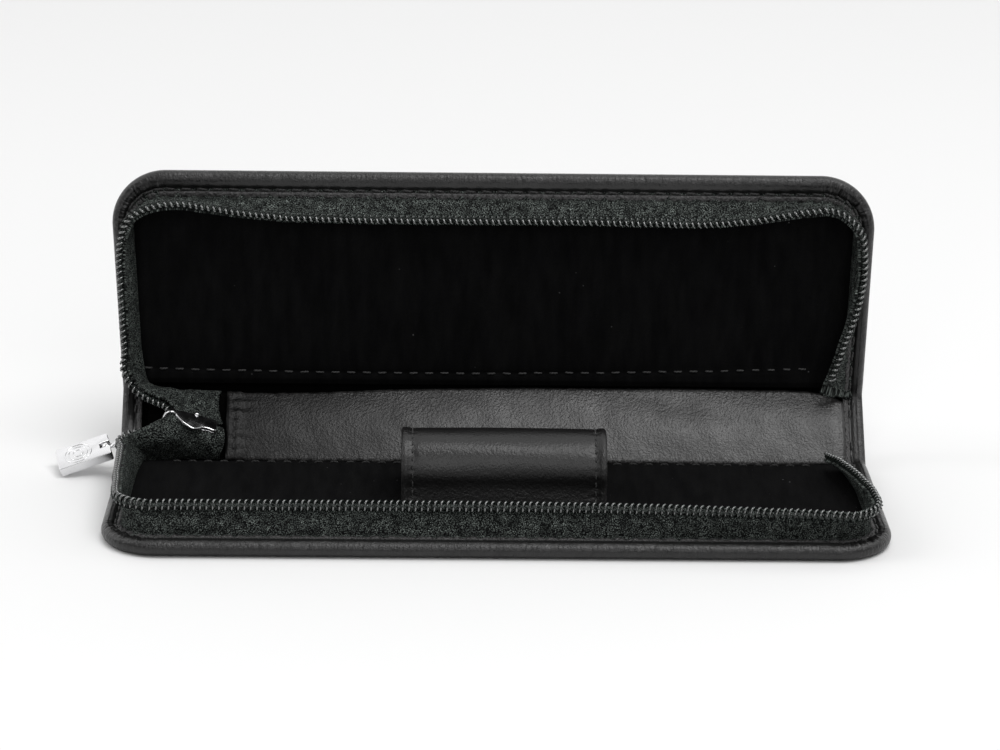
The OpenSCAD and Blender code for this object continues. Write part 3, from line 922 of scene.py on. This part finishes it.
def coil_lines(side):
    """Lines of a zip row at matching stations: sewn edge, its direction, coil centre, and the
    coil's edge direction, with the distance run."""
    place_on = SIDES[side]
    place, normal, run, _, _ = outline(0.9, 0.6, 1.2)
    leans = LEANS[side]
    keep = (run >= leans[0][0]) & (run <= leans[-1][0])
    place, normal, run = place[keep], normal[keep], run[keep]
    lean = through([p for p, _ in leans], [i for _, i in leans], run)
    lean += 0.12 * ripple(run, 31 if side == "base" else 37, (9.0, 14.0, 6.1))
    root_in = (ROOT_INSET + 0.1) * narrowing(run) - 0.1
    rise = np.sqrt(TAPE_RISE**2 - (lean - root_in) ** 2)
    edge_in = np.column_stack([lean - root_in, rise]) / TAPE_RISE
    half = COIL_HEIGHT / 2
    coil_inset, coil_z = lean - half * edge_in[:, 0], ROOT_Z + rise - half * edge_in[:, 1]

    def spot(inset, z):
        return place_on(np.column_stack([place - inset[:, None] * normal, z]))

    flat = np.ones(len(run))
    root = spot(root_in, (ROOT_Z - 0.25) * flat)
    sewn = spot(root_in - 2.0, (ROOT_Z - 0.55) * flat)
    start = unit(spot(root_in + 0.15, (ROOT_Z + 0.7) * flat) - root)
    coil = spot(coil_inset, coil_z)
    tip = unit(spot(lean, ROOT_Z + rise) - coil)

    # From the panel's left side into the slider and on under the strip
    sign = -1 if side == "base" else 1
    tips_at = -sign * SLIDER_AXES[1]
    centre_line = [in_slider((x, sign * 0.75, -0.1)) for x in (-4.4, 0.0, 3.9)]
    tail = on_spine(np.array([[STRIP_LEFT - 1.2, 6.5 + sign * 0.75, 3.4]]))
    coil_ctrl = np.vstack([coil[-6:-4], coil[-2:-1], RUN_IN[side], centre_line, tail])
    chord = run_along(coil_ctrl)
    nose = len(RUN_IN[side]) + 3
    fine = np.linspace(chord[2], chord[-1], 60)[1:]
    end_coil = through(chord, coil_ctrl, fine)
    root_end = place_on(np.array([p for _, p in ROOT_RUN], float))
    root_ctrl = np.vstack([root[-6:-4], root[-2:-1], root_end])
    steps = [*chord[:3], *[chord[2] + t * (chord[-1] - chord[2]) for t, _ in ROOT_RUN]]
    end_root = through(steps, root_ctrl, fine)
    share = soft((fine - chord[2]) / (chord[nose] - chord[2]))[:, None]
    end_tip = unit(tip[-1] * (1 - share) + tips_at * share)
    spine_up = on_spine(np.array([[0, 0, 1.0]]))[0] - on_spine(np.array([[0, 0, 0.0]]))[0]
    end_start = unit(start[-1] * (1 - share) + spine_up * share)
    down = unit(sewn[-1] - root[-1]) * (1 - share) - spine_up * share
    end_sewn = end_root + 1.2 * unit(down)
    k = len(coil) - 1
    return {
        "root": np.vstack([root[:k], end_root]),
        "sewn": np.vstack([sewn[:k], end_sewn]),
        "start": np.vstack([start[:k], end_start]),
        "coil": np.vstack([coil[:k], end_coil]),
        "tip": np.vstack([tip[:k], end_tip]),
        "panel_count": k,
    }


def coil_frames(side, lines):
    """Travel, edge and face directions of a coil along its line."""
    coil = lines["coil"]
    travel = unit(np.gradient(coil, axis=0))
    tip = unit(lines["tip"] - np.sum(lines["tip"] * travel, axis=1, keepdims=True) * travel)
    face = np.cross(tip, travel) if side == "base" else np.cross(travel, tip)
    return travel, tip, face


def zip_tape(side, lines, nodes):
    """The woven tape: sewn in under the margin, rising to the coil on its outer face."""
    _, tip, face = coil_frames(side, lines)
    near_slider = soft((np.arange(len(tip)) - lines["panel_count"]) / 25.0)[:, None]
    edge = (lines["coil"] - (TAPE_BEHIND + 0.2 * near_slider) * face
            + (0.25 + TAPE_EASE[side] * near_slider) * tip)
    reach = np.linalg.norm(edge - lines["root"], axis=1, keepdims=True)
    a = lines["root"] + 0.35 * reach * lines["start"]
    b = edge - (0.35 + 0.25 * near_slider) * reach * tip
    t = np.linspace(0, 1, 14)[None, :, None]
    wall = ((1 - t) ** 3 * lines["root"][:, None] + 3 * t * (1 - t) ** 2 * a[:, None]
            + 3 * t * t * (1 - t) * b[:, None] + t**3 * edge[:, None])
    sewn = lines["sewn"][:, None]
    sheet = np.concatenate([sewn, 0.45 * sewn + 0.55 * lines["root"][:, None], wall], axis=1)
    n, m = sheet.shape[:2]
    run = run_along(lines["coil"])
    step = np.linalg.norm(np.diff(sheet, axis=1), axis=2)
    across = np.concatenate([np.zeros((n, 1)), np.cumsum(step, axis=1)], axis=1)
    out = unit(np.cross(np.gradient(sheet, axis=0), np.gradient(sheet, axis=1)))
    body = soft((across - 3) / 2) * soft((across[:, -1:] - across - 1.2) / 2)
    wobble = 0.13 * ripple(run[:, None] + 0.6 * across, 43, (7.3, 11.0, 5.1, 17.0))
    sheet = sheet + out * (body * wobble)[..., None]
    flat = columns(np.tile(run[:, None], (1, m)), across, np.zeros(n * m))
    piece = make_piece(side + "_woven_tape", sheet.reshape(-1, 3), grid_faces(n, m), tape_weave,
                       flat)
    thicken(piece, TAPE_T)
    settle(piece, "zip_tape", *nodes)
    bend_tape(piece, side)


def bend_tape(piece, side):
    """For the tape and coil: hands bend_between a longer stretch than the leather's, from the
    panel's left side to the slider, where it only bakes the piece's placement."""
    panel_end = SIDES[side](np.array([[0, PANEL_DEPTH - 12.0, 6.0]]))[0]
    spine_end = on_spine(np.array([[0, 3.0 if side == "base" else SPINE_WIDTH - 8.0, 5.0]]))[0]
    bend_between(piece, side, panel_end, spine_end)


def zip_coil(side, lines, nodes):
    """One row of nylon coil: a flattened spiral of monofilament sewn to the tape's edge."""
    travel, tip, face = coil_frames(side, lines)
    coil = lines["coil"]
    run = run_along(coil)
    turns = int((run[-1] - COIL_START[side] - 0.6) / COIL_PITCH)
    per_turn = 16
    at = COIL_START[side] + np.arange(turns * per_turn + 1) / per_turn * COIL_PITCH
    angle = 2 * math.pi * np.arange(turns * per_turn + 1) / per_turn

    def along(values):
        return np.column_stack([np.interp(at, run, values[:, i]) for i in range(3)])

    centre, go, top, out = along(coil), unit(along(travel)), unit(along(tip)), unit(along(face))
    high = COIL_HEIGHT / 2 - WIRE_R
    wide = COIL_THICK / 2 - WIRE_R
    c, s = np.cos(angle), np.sin(angle)
    up = high * np.sign(c) * np.abs(c) ** 0.85
    side_way = wide * np.sign(s) * np.abs(s) ** 0.7
    sway = 0.16 * np.sin(angle) + 0.1 * np.sin(2 * angle)
    path = (centre + up[:, None] * top + side_way[:, None] * out
            + (sway * COIL_PITCH / 2)[:, None] * go)
    along_wire = unit(np.gradient(path, axis=0))
    spoke = unit(c[:, None] * top + s[:, None] * out)
    across = unit(np.cross(along_wire, spoke))
    spoke = np.cross(across, along_wire)
    tips = np.clip(c, 0, 1) ** 6
    radius = WIRE_R * (1 + 0.18 * tips)
    sides = 6
    turn = full_turn(sides)
    ring = (path[:, None] + radius[:, None, None] * (np.cos(turn)[None, :, None] * across[:, None]
            + np.sin(turn)[None, :, None] * spoke[:, None]))
    shape = Shape()
    shape.add(ring.reshape(-1, 3), tube_faces(len(path), sides))
    piece = shape.piece(side + "_coil_row", nylon)
    settle(piece, "zip_coil", *nodes)
    bend_tape(piece, side)

    sewing = Shape()
    for k in range(1, turns):
        i = int((k + 0.25) * per_turn)
        spot = centre[i] + out[i] * (COIL_THICK / 2 - 0.02) + 0.12 * top[i]
        slant = unit(0.85 * go[i] + 0.5 * top[i])
        stitch_tubes(sewing, spot, slant, out[i], 1.15, 0.17, rise=0.1, sink=0.12)
    thread = sewing.piece(side + "_coil_sewing", coil_thread)
    bend_tape(thread, side)
    pick = run >= COIL_START[side] - 0.2
    coil_filler(side, coil[pick], tip[pick], face[pick], run[pick])


def coil_filler(side, coil, tip, face, run):
    """The cord inside the coil, which the sewing thread goes round."""
    sides = 8
    core = Shape()
    points, faces = tube(coil - 0.1 * tip, face, tip, *FILLER_RADII, sides=sides)
    flat = columns(np.repeat(run, sides), np.tile(np.arange(sides) * 0.4, len(run)),
                   np.zeros(len(points)))
    core.add(points, faces, flat)
    cord = core.piece(side + "_coil_filler", tape_weave)
    bend_tape(cord, side)


# ---- Spine strip ----
def spine_strip():
    """Grained leather over the spine: soft lengthwise creases, a double hem at its left end."""
    xs = np.linspace(STRIP_LEFT, STRIP_RIGHT, 190)
    ts = np.linspace(0, 1, 40)
    x, t = np.meshgrid(xs, ts, indexing="ij")
    share = (x - STRIP_LEFT) / (STRIP_RIGHT - STRIP_LEFT)
    low = 0.35 + 0.12 * ripple(xs, 2, (41.0, 67.0, 23.0))[:, None]
    top = SPINE_WIDTH + 0.45 - 1.9 * (1 - soft(share / 0.5))
    top = top + 0.12 * ripple(xs, 4, (31.0, 53.0))[:, None]
    turned = np.clip((x[:, :1] - STRIP_RIGHT + 16.0) / 16.0, 0, 1)
    top = top - 4.4 * (1 - np.sqrt(1 - 0.9 * turned**2.4))
    s = low + (top - low) * t
    edge = np.minimum(t, 1 - t)
    belly = 0.9 * np.sin(math.pi * t) ** 0.8
    folds = 0.22 * ripple(9 * t + 0.05 * x, 6, (7.0, 10.0)) * ripple(x + 6 * t, 7, (67.0, 41.0))
    small = (0.06 * ripple(x * 0.3 + 14 * t, 12, (9.0, 5.7, 13.0))
             + 0.05 * ripple(x + 7 * t, 14, (6.3, 9.1)))
    z = 2.05 + belly + (folds + small) * np.sin(math.pi * t) ** 0.5 - 0.35 * np.exp(-edge / 0.03)
    hem = soft((STRIP_LEFT + HEM_WIDTH - x) / 0.5)
    seam = hump(x, STRIP_LEFT + HEM_WIDTH / 2, 0.5) * (0.22 + 0.16 * np.cos(2 * math.pi * s / 2.4))
    pucker = 0.14 * ripple(s, 18, (2.4, 3.7)) * hump(x, STRIP_LEFT + HEM_WIDTH, 1.6)
    z = z + 0.55 * hem - seam + pucker
    z = z - 0.35 * soft((x - STRIP_RIGHT + 2.0) / 2.0)
    points = columns(x, s, z)
    # The third flat coordinate pales the strip's edges: partly rubbing, partly a painted highlight.
    flat = columns(x, s, 0.8 * np.exp(-edge / 0.04))
    piece = make_piece("spine_grained_strip", on_spine(points), grid_faces(*x.shape),
                       strip_leather, flat)
    thicken(piece, 0.75)
    settle(piece, "strip_leather", "spine_strip", body="spine")

    shape = Shape()
    for k in range(-3, 4):
        s_at = SPINE_WIDTH / 2 - 0.8 + k * 2.4
        if 1.4 < s_at < SPINE_WIDTH - 3.4:
            height = 3.05 + 0.55 * math.sin(math.pi * s_at / 16)
            at = np.array([STRIP_LEFT + HEM_WIDTH / 2, s_at, height])
            stitch_tubes(shape, at, np.array([0.08, 1, 0.0]), UP, 1.7, 0.2)
    thread = shape.piece("spine_strip_thread", edge_thread, place=on_spine)
    settle(thread, "thread", "spine_strip_stitching", body="spine")


# ---- Pen loop ----
loop_low, loop_high = node_box("pen_loop")
LOOP_MID = (loop_low + loop_high) / 2
LOOP_R = (loop_high[1] - loop_low[1]) / 2
LOOP_AXIS_Z = loop_high[2] - LOOP_R
LOOP_FOOT_Z = 2.6
LOOP_SPREAD = 1.1
LOOP_SEAM_INSET = 2.3
LOOP_STITCH = 1.8
LOOP_ORIGIN = np.array([LOOP_MID[0], LOOP_MID[1], LOOP_AXIS_Z])


def loop_flare(before, after, leg):
    """The loop's legs spread a little towards the lining."""
    return LOOP_SPREAD * (soft(before / leg) + soft(after / leg))


def loop_band(name, outer_r, thickness, overhang, node, edge_wear_and_highlight):
    """A leather band bent over the pen: down one side, round the top and down the other."""
    leg = LOOP_AXIS_Z - LOOP_FOOT_Z
    length = 2 * leg + math.pi * outer_r
    rows = np.linspace(0, length, 92)
    half = (loop_high[0] - loop_low[0]) / 2 + overhang
    edge_r = thickness / 2
    section = [(-half + edge_r - edge_r * math.sin(a), math.cos(a) * edge_r)
               for a in np.linspace(0, math.pi, 7)]
    section += [(x, -edge_r) for x in np.linspace(-half + 0.8, half - 0.8, 60)]
    section += [(-x, -h) for x, h in section]
    x, h = np.array(section).T
    out = h > 0
    row = np.tile(rows[:, None], (1, len(x)))
    xs = np.tile(x, (len(rows), 1))
    seam = hump(np.abs(xs), half - LOOP_SEAM_INSET, 0.5)
    pull = 1 + 0.5 * np.cos(2 * math.pi * row / LOOP_STITCH)
    dent = 0.18 * seam * pull * out
    crown = 0.22 * hump(np.abs(xs), half - 0.9, 0.8) * out
    belly = 0.15 * (1 - (xs / half) ** 2) + 0.07 * ripple(row + 0.2 * xs, 27, (17.0, 9.0))
    radial = outer_r - edge_r + np.tile(h, (len(rows), 1)) - dent + crown + belly
    angle = np.clip((row - leg) / outer_r, 0, math.pi)
    before = np.clip(leg - row, 0, None)
    after = np.clip(row - leg - math.pi * outer_r, 0, None)
    y = -np.cos(angle) * (radial + loop_flare(before, after, leg))
    z = np.sin(angle) * radial - before - after
    points = columns(xs, y, z) + LOOP_ORIGIN
    # The band's edges are paled: partly rubbing, partly a painted highlight.
    worn_and_highlit = edge_wear_and_highlight * hump(np.abs(xs), half, 0.7)
    flat = columns(xs + 500, row, worn_and_highlit)
    piece = make_piece(name, points, tube_faces(len(rows), len(x)), leather, flat)
    settle(piece, "leather", node, body="base")
    return piece


def loop_stitching():
    """Two rows of small stitches over the loop, one near each edge."""
    shape = Shape()
    leg = LOOP_AXIS_Z - PANEL_T - 0.9
    half = (loop_high[0] - loop_low[0]) / 2
    count = int((2 * leg + math.pi * LOOP_R) / LOOP_STITCH)
    for side in (-1, 1):
        for k in range(count):
            run = (k + 0.5) * LOOP_STITCH
            angle = np.clip((run - leg) / LOOP_R, 0, math.pi)
            before, after = max(leg - run, 0), max(run - leg - math.pi * LOOP_R, 0)
            out = np.array([0, -math.cos(angle), math.sin(angle)])
            along = np.array([0, math.sin(angle), math.cos(angle)])
            centre = LOOP_ORIGIN + np.array([side * (half - LOOP_SEAM_INSET), 0, -before - after])
            centre = centre + out * (LOOP_R - 0.06 + float(loop_flare(before, after, leg)))
            stitch_tubes(shape, centre, along, out, 1.25, 0.15, rise=0.1, sink=0.15)
    piece = shape.piece("pen_loop_thread", edge_thread)
    settle(piece, "thread", "pen_loop_stitching", body="base")


# ---- Slider and pull ----
def plate(shape, line, low, high, bevel):
    """Adds a flat plate with rounded edges, from an outline in its plane."""
    line = np.asarray(line, float)
    ahead, behind = np.roll(line, -1, axis=0), np.roll(line, 1, axis=0)
    tangent = unit(ahead - behind)
    outward = np.column_stack([tangent[:, 1], -tangent[:, 0]])
    if np.sum(line[:, 0] * ahead[:, 1] - ahead[:, 0] * line[:, 1]) < 0:
        outward = -outward
    rings = []
    for a in np.linspace(0, math.pi / 2, 4):
        rings.append((bevel * (1 - math.sin(a)), low + bevel * (1 - math.cos(a))))
    for a in np.linspace(math.pi / 2, 0, 4):
        rings.append((bevel * (1 - math.sin(a)), high - bevel * (1 - math.cos(a))))
    points = np.vstack([np.column_stack([line - inset * outward, np.full(len(line), z)])
                        for inset, z in rings])
    shape.add(points, tube_faces(len(rings), len(line)))


def smooth_loop(points, count):
    """A closed smooth curve through a few points."""
    points = np.asarray(points, float)
    wrapped = np.vstack([points[-2:], points, points[:3]])
    step = run_along(wrapped)
    at = np.linspace(step[2], step[2 + len(points)], count, endpoint=False)
    return through(step, wrapped, at)


def slider_outline(upper, lower_share=1.0):
    """Plate of the slider in plan: pointed nose, wide shoulder and a narrower tail. The two
    factors say how wide it is on the lid's side and on the base's side of its middle."""
    shoulder = [(-5.2, 0.35), (-4.7, -0.8), (-3.6, -2.2), (-2.0, -3.3), (-0.7, -3.75), (0.3, -3.3),
                (1.0, -2.7), (2.6, -2.35), (3.9, -2.4)]
    lower = [(x, y * lower_share) for x, y in shoulder]
    tail = [(4.3, -2.1 * lower_share), (4.35, -0.8), (4.3, 0.9 * upper)]
    top = [(3.9, 1.5 * upper), (2.6, 1.6 * upper), (0.5, 1.7 * upper), (-1.6, 1.65 * upper),
           (-3.4, 1.4 * upper), (-4.7, 0.9 * upper)]
    return smooth_loop(lower + tail + top, 110)


def slider_pieces():
    """Two plates with the post and the guide rails between them, and the bridge's arch."""
    shape = Shape()
    near, far, bevel = 0.95, 1.72, 0.26
    plate(shape, slider_outline(0.75), near, far, bevel)
    plate(shape, slider_outline(1.9, 0.84), -far, -near, bevel)
    post = smooth_loop([(-4.0, 0), (-2.9, -0.85), (-1.3, 0), (-2.9, 0.85)], 24)
    plate(shape, post, -1.1, 1.1, 0.05)
    for side in (-1, 1):
        for low, high in ((-1.1, -0.5), (0.5, 1.1)):
            rail = smooth_loop([(1.2, side * 2.0), (2.6, side * 1.95), (4.0, side * 1.9),
                                (4.05, side * 2.3), (2.6, side * 2.4), (1.3, side * 2.55)], 28)
            plate(shape, rail, low, high, 0.1)
    nub = smooth_loop([(-0.55, 0.95), (0.25, 0.95), (0.3, 1.75), (-0.5, 1.8)], 20)
    plate(shape, nub, 1.2, 2.05, 0.25)
    body = shape.piece("slider_plates", metal, place=in_slider)
    settle(body, "metal", "slider_body", body="slider")

    arch = [(1.9, -1.45), (1.45, -2.6), (0.5, -3.6), (-0.8, -3.9), (-2.6, -3.95), (-4.4, -3.85),
            (-5.6, -3.4), (-6.3, -2.5), (-6.6, -1.2), (-6.65, 0.1), (-6.35, 1.2), (-5.6, 1.75),
            (-4.8, 1.55)]
    arch = np.array([(x, 0, z) for x, z in arch], float)
    step = run_along(arch)
    line = through(step, arch, np.linspace(0, step[-1], 48))
    travel = unit(np.gradient(line, axis=0))
    sideways = np.tile([0.0, 1, 0], (len(line), 1))
    up = np.cross(travel, sideways)
    turn = full_turn(16)
    wide = 0.72 * np.sign(np.cos(turn)) * np.abs(np.cos(turn)) ** 0.45
    thick = 0.34 * np.sign(np.sin(turn)) * np.abs(np.sin(turn)) ** 0.6
    ring = (line[:, None] + wide[None, :, None] * sideways[:, None]
            + thick[None, :, None] * up[:, None])
    bridge = Shape()
    bridge.add(ring.reshape(-1, 3), tube_faces(len(line), len(turn)))
    piece = bridge.piece("slider_arch", metal, place=in_slider)
    settle(piece, "metal", "slider_bridge", body="slider")


LINK_AT = joint_point("link_swing")
TAB_AT = joint_point("tab_swing")
link_side = joint_axis("link_swing")
link_run = TAB_AT - LINK_AT
link_back = -unit(link_run - np.dot(link_run, link_side) * link_side)
LINK_AXES = axes_of(link_back, link_side)
LINK_LEN = float(np.dot(link_run, -link_back))


def pull_link():
    """A rounded frame that hangs on the bridge, a slim neck, and the eye for the pin."""
    shape = Shape()
    frame_line = smooth_loop([(0, -1.6), (-0.1, 0), (0, 1.6), (-0.9, 1.78), (-2.4, 1.72),
                              (-3.5, 1.2), (-3.85, 0), (-3.5, -1.2), (-2.4, -1.72),
                              (-0.9, -1.78)], 64)
    path = np.column_stack([frame_line, np.zeros(len(frame_line))])
    travel = unit(np.roll(path, -1, axis=0) - np.roll(path, 1, axis=0))
    up = np.tile([0.0, 0, 1], (len(path), 1))
    shape.add(*tube(path, np.cross(up, travel), up, 0.36, 0.38, sides=10, closed=True))
    neck = columns(np.linspace(-3.7, -LINK_LEN + 0.7, 14), np.zeros(14), np.zeros(14))
    ones = np.ones((14, 1))
    shape.add(*tube(neck, ones * [0, 1.0, 0], ones * [0, 0, 1.0], 0.7, 0.38, sides=12))
    turn = full_turn(32)
    eye = columns(-LINK_LEN + 0.74 * np.cos(turn), np.zeros(32), 0.74 * np.sin(turn))
    outward = unit(eye - np.array([-LINK_LEN, 0, 0]))
    shape.add(*tube(eye, outward, np.tile([0.0, 1, 0], (32, 1)), 0.27, 0.7, sides=10, closed=True))
    piece = shape.piece("pull_link_ring", metal, place=lambda p: LINK_AT + p @ LINK_AXES)
    settle(piece, "metal", "pull_link", body="link")


def tab_axes():
    """The tab's own axes, from the corners of its CAD solid."""
    mesh = frame["nodes"]["pull_tab"].data
    points = np.array([v.co for v in mesh.vertices]) / MM
    side = turned_to(joint_axis("tab_swing"), BACKWARDS)
    spread = points - points.mean(axis=0)
    spread = spread - np.outer(spread @ side, side)
    _, vectors = np.linalg.eigh(spread.T @ spread)
    long_axis = turned_to(vectors[:, -1], TAB_AT - points.mean(axis=0))
    return axes_of(long_axis, side)


def pull_tab():
    """A flat polished tab with a slotted end and plain turned rings near its free end."""
    axes = tab_axes()
    length, back, width, thick = 10.6, 0.9, 7.0, 2.0
    r = 0.45

    def rounded(x0, x1, y0, y1, radius):
        corners = [(x1 - radius, y0 + radius, -90), (x1 - radius, y1 - radius, 0),
                   (x0 + radius, y1 - radius, 90), (x0 + radius, y0 + radius, 180)]
        turns = [(cx, cy, math.radians(a + t)) for cx, cy, a in corners
                 for t in (0, 22.5, 45, 67.5, 90)]
        return [(cx + radius * math.cos(t), cy + radius * math.sin(t)) for cx, cy, t in turns]

    def slotted():
        line = rounded(-length, back, -width / 2, width / 2, r)
        half, depth = 0.85, -1.25
        cut = [(back, half), (depth, half), (depth, -half), (back, -half)]
        start = max(i for i, p in enumerate(line) if p[0] > 0 and p[1] < 0)
        return line[: start + 1] + cut[::-1] + line[start + 1:]

    shape = Shape()
    plate(shape, slotted(), -thick / 2, thick / 2, 0.16)
    for face in (-1, 1):
        for radius, wide in ((2.85, 0.17), (2.05, 0.12), (1.05, 0.12)):
            turn = full_turn(64)
            ring = columns(-length + 4.6 + radius * np.cos(turn), radius * np.sin(turn),
                           np.full(64, face * thick / 2))
            outward = columns(np.cos(turn), np.sin(turn), np.zeros(64))
            shape.add(*tube(ring, outward, np.tile(UP, (64, 1)), wide, 0.09, sides=8,
                            closed=True))

    def place(p):
        return TAB_AT + p @ axes

    piece = shape.piece("pull_tab_plate", metal, place=place)
    settle(piece, "metal", "pull_tab", body="tab")

    pin = Shape()
    path = columns(np.zeros(6), np.linspace(-2.9, 2.9, 6), np.zeros(6))
    ones = np.ones((6, 1))
    pin.add(*tube(path, ones * [1.0, 0, 0], ones * [0, 0, 1.0], 0.4, 0.4, sides=24))
    rod = pin.piece("pull_tab_pin", metal, place=place)
    settle(rod, "metal", "pull_pin", body="tab")


# ---- Camera, floor and light ----
CAMERA_TURN = (21.154, -1.442, 0.98)  # elevation, yaw and roll in degrees
CAMERA_TARGET = Vector((0.0, 0.0065, 0.025))
CAMERA_DISTANCE = 0.831754
# Each light's name, place, aim, size and watts
LIGHTS = (
    ("softbox", (0.42, -0.26, 1.26), (0.32, 0.0, 0.0), (0.95, 0.7), 9.5),
    ("front", (0.15, -1.15, 0.80), (0.0, 0.0, 0.02), (1.3, 0.7), 4.6),
    ("side", (-0.95, 0.10, 0.75), (0, 0, 0.02), (0.35, 0.6), 2.2),
)
# How bright the room is from the viewer's side (From Min) to behind the case (From Max)
ROOM_LEVELS = {"From Min": -0.5, "From Max": 0.7, "To Min": 0.20, "To Max": 1.16}
FLOOR_HALF = 6.0


def make_camera():
    """A long lens at the photograph's viewing angle."""
    elevation, yaw, roll = (math.radians(a) for a in CAMERA_TURN)
    back = Vector((math.sin(yaw) * math.cos(elevation), -math.cos(yaw) * math.cos(elevation),
                   math.sin(elevation)))
    right = Vector((0, 0, 1)).cross(back).normalized()
    up = back.cross(right)
    x_axis = right * math.cos(roll) + up * math.sin(roll)
    y_axis = up * math.cos(roll) - right * math.sin(roll)
    data = bpy.data.cameras.new("camera")
    data.sensor_width = 36.0
    data.lens = 146.27
    data.shift_x, data.shift_y = 0.00292, 0.0152
    data.clip_start, data.clip_end = 0.01, 20
    camera = add_object("camera", data)
    camera.matrix_world = Matrix.Translation(CAMERA_TARGET + back * CAMERA_DISTANCE) @ Matrix(
        (x_axis, y_axis, back)).transposed().to_4x4()
    bpy.context.scene.camera = camera


def area_light(name, at, towards, size, power):
    """A soft rectangular light, aimed at a place."""
    data = bpy.data.lights.new(name, "AREA")
    data.shape = "RECTANGLE"
    data.size, data.size_y = size
    data.energy = power
    light = add_object(name, data)
    light.location = at
    light.rotation_euler = (Vector(towards) - Vector(at)).to_track_quat("-Z", "Y").to_euler()


def make_stage():
    """The plain floor, the room and the soft lights."""
    floor = bpy.data.meshes.new("floor")
    corners = [(-1, -1), (1, -1), (1, 1), (-1, 1)]
    floor.from_pydata([(FLOOR_HALF * x, FLOOR_HALF * y, 0) for x, y in corners], [], [(0, 1, 2, 3)])
    floor.materials.append(floor_finish())
    ground = add_object("floor", floor)
    ground.location.z = -0.00002
    light_the_room()
    bpy.context.scene.view_settings.view_transform = "Standard"
    for light in LIGHTS:
        area_light(*light)


def light_the_room():
    """A white sweep behind the case, and a dimmer room on the viewer's side."""
    world = bpy.data.worlds.new("world")
    world.use_nodes = True
    tree = world.node_tree
    backdrop = tree.nodes["Background"]
    ray = tree.nodes.new("ShaderNodeTexCoord")
    parts = tree.nodes.new("ShaderNodeSeparateXYZ")
    level = tree.nodes.new("ShaderNodeMapRange")
    level.interpolation_type = "SMOOTHSTEP"
    for socket, value in ROOM_LEVELS.items():
        level.inputs[socket].default_value = value
    tree.links.new(ray.outputs["Generated"], parts.inputs["Vector"])
    tree.links.new(parts.outputs["Y"], level.inputs["Value"])
    tree.links.new(level.outputs["Result"], backdrop.inputs["Strength"])
    backdrop.inputs["Color"].default_value = (1.0, 1.0, 1.0, 1)
    bpy.context.scene.world = world


# ---- The whole case ----
def build():
    """Makes every piece, in the order in which the random draws are made."""
    panel_cover("base", ["base_cover", "spine_cover"])
    panel_cover("lid", ["lid_cover"])
    edge_stitching("base", ["base_edge_stitching", "spine_edge_stitching"])
    edge_stitching("lid", ["lid_edge_stitching"])
    lining("base", "base_lining", "base_lining_stitching")
    lining("lid", "lid_lining", "lid_lining_stitching")
    lines = {side: coil_lines(side) for side in SIDES}
    zip_tape("base", lines["base"], ["base_zip_tape", "zip_tail_tape"])
    zip_tape("lid", lines["lid"], ["lid_zip_tape"])
    zip_coil("base", lines["base"], ["base_zip_coil", "zip_tail_coil"])
    zip_coil("lid", lines["lid"], ["lid_zip_coil"])
    spine_strip()
    loop_band("pen_loop_band", LOOP_R, 0.9, 0.0, "pen_loop", 1.0)
    loop_band("pen_loop_inner_band", LOOP_R - 0.85, 0.6, -0.25, "pen_loop_lining", 0.4)
    loop_stitching()
    slider_pieces()
    pull_link()
    pull_tab()
    for name in ("base_board", "lid_board", "spine_stiffener"):
        board = frame["nodes"][name]
        board.data.materials.clear()
        board.data.materials.append(greyboard)


make_camera()
make_stage()
build()
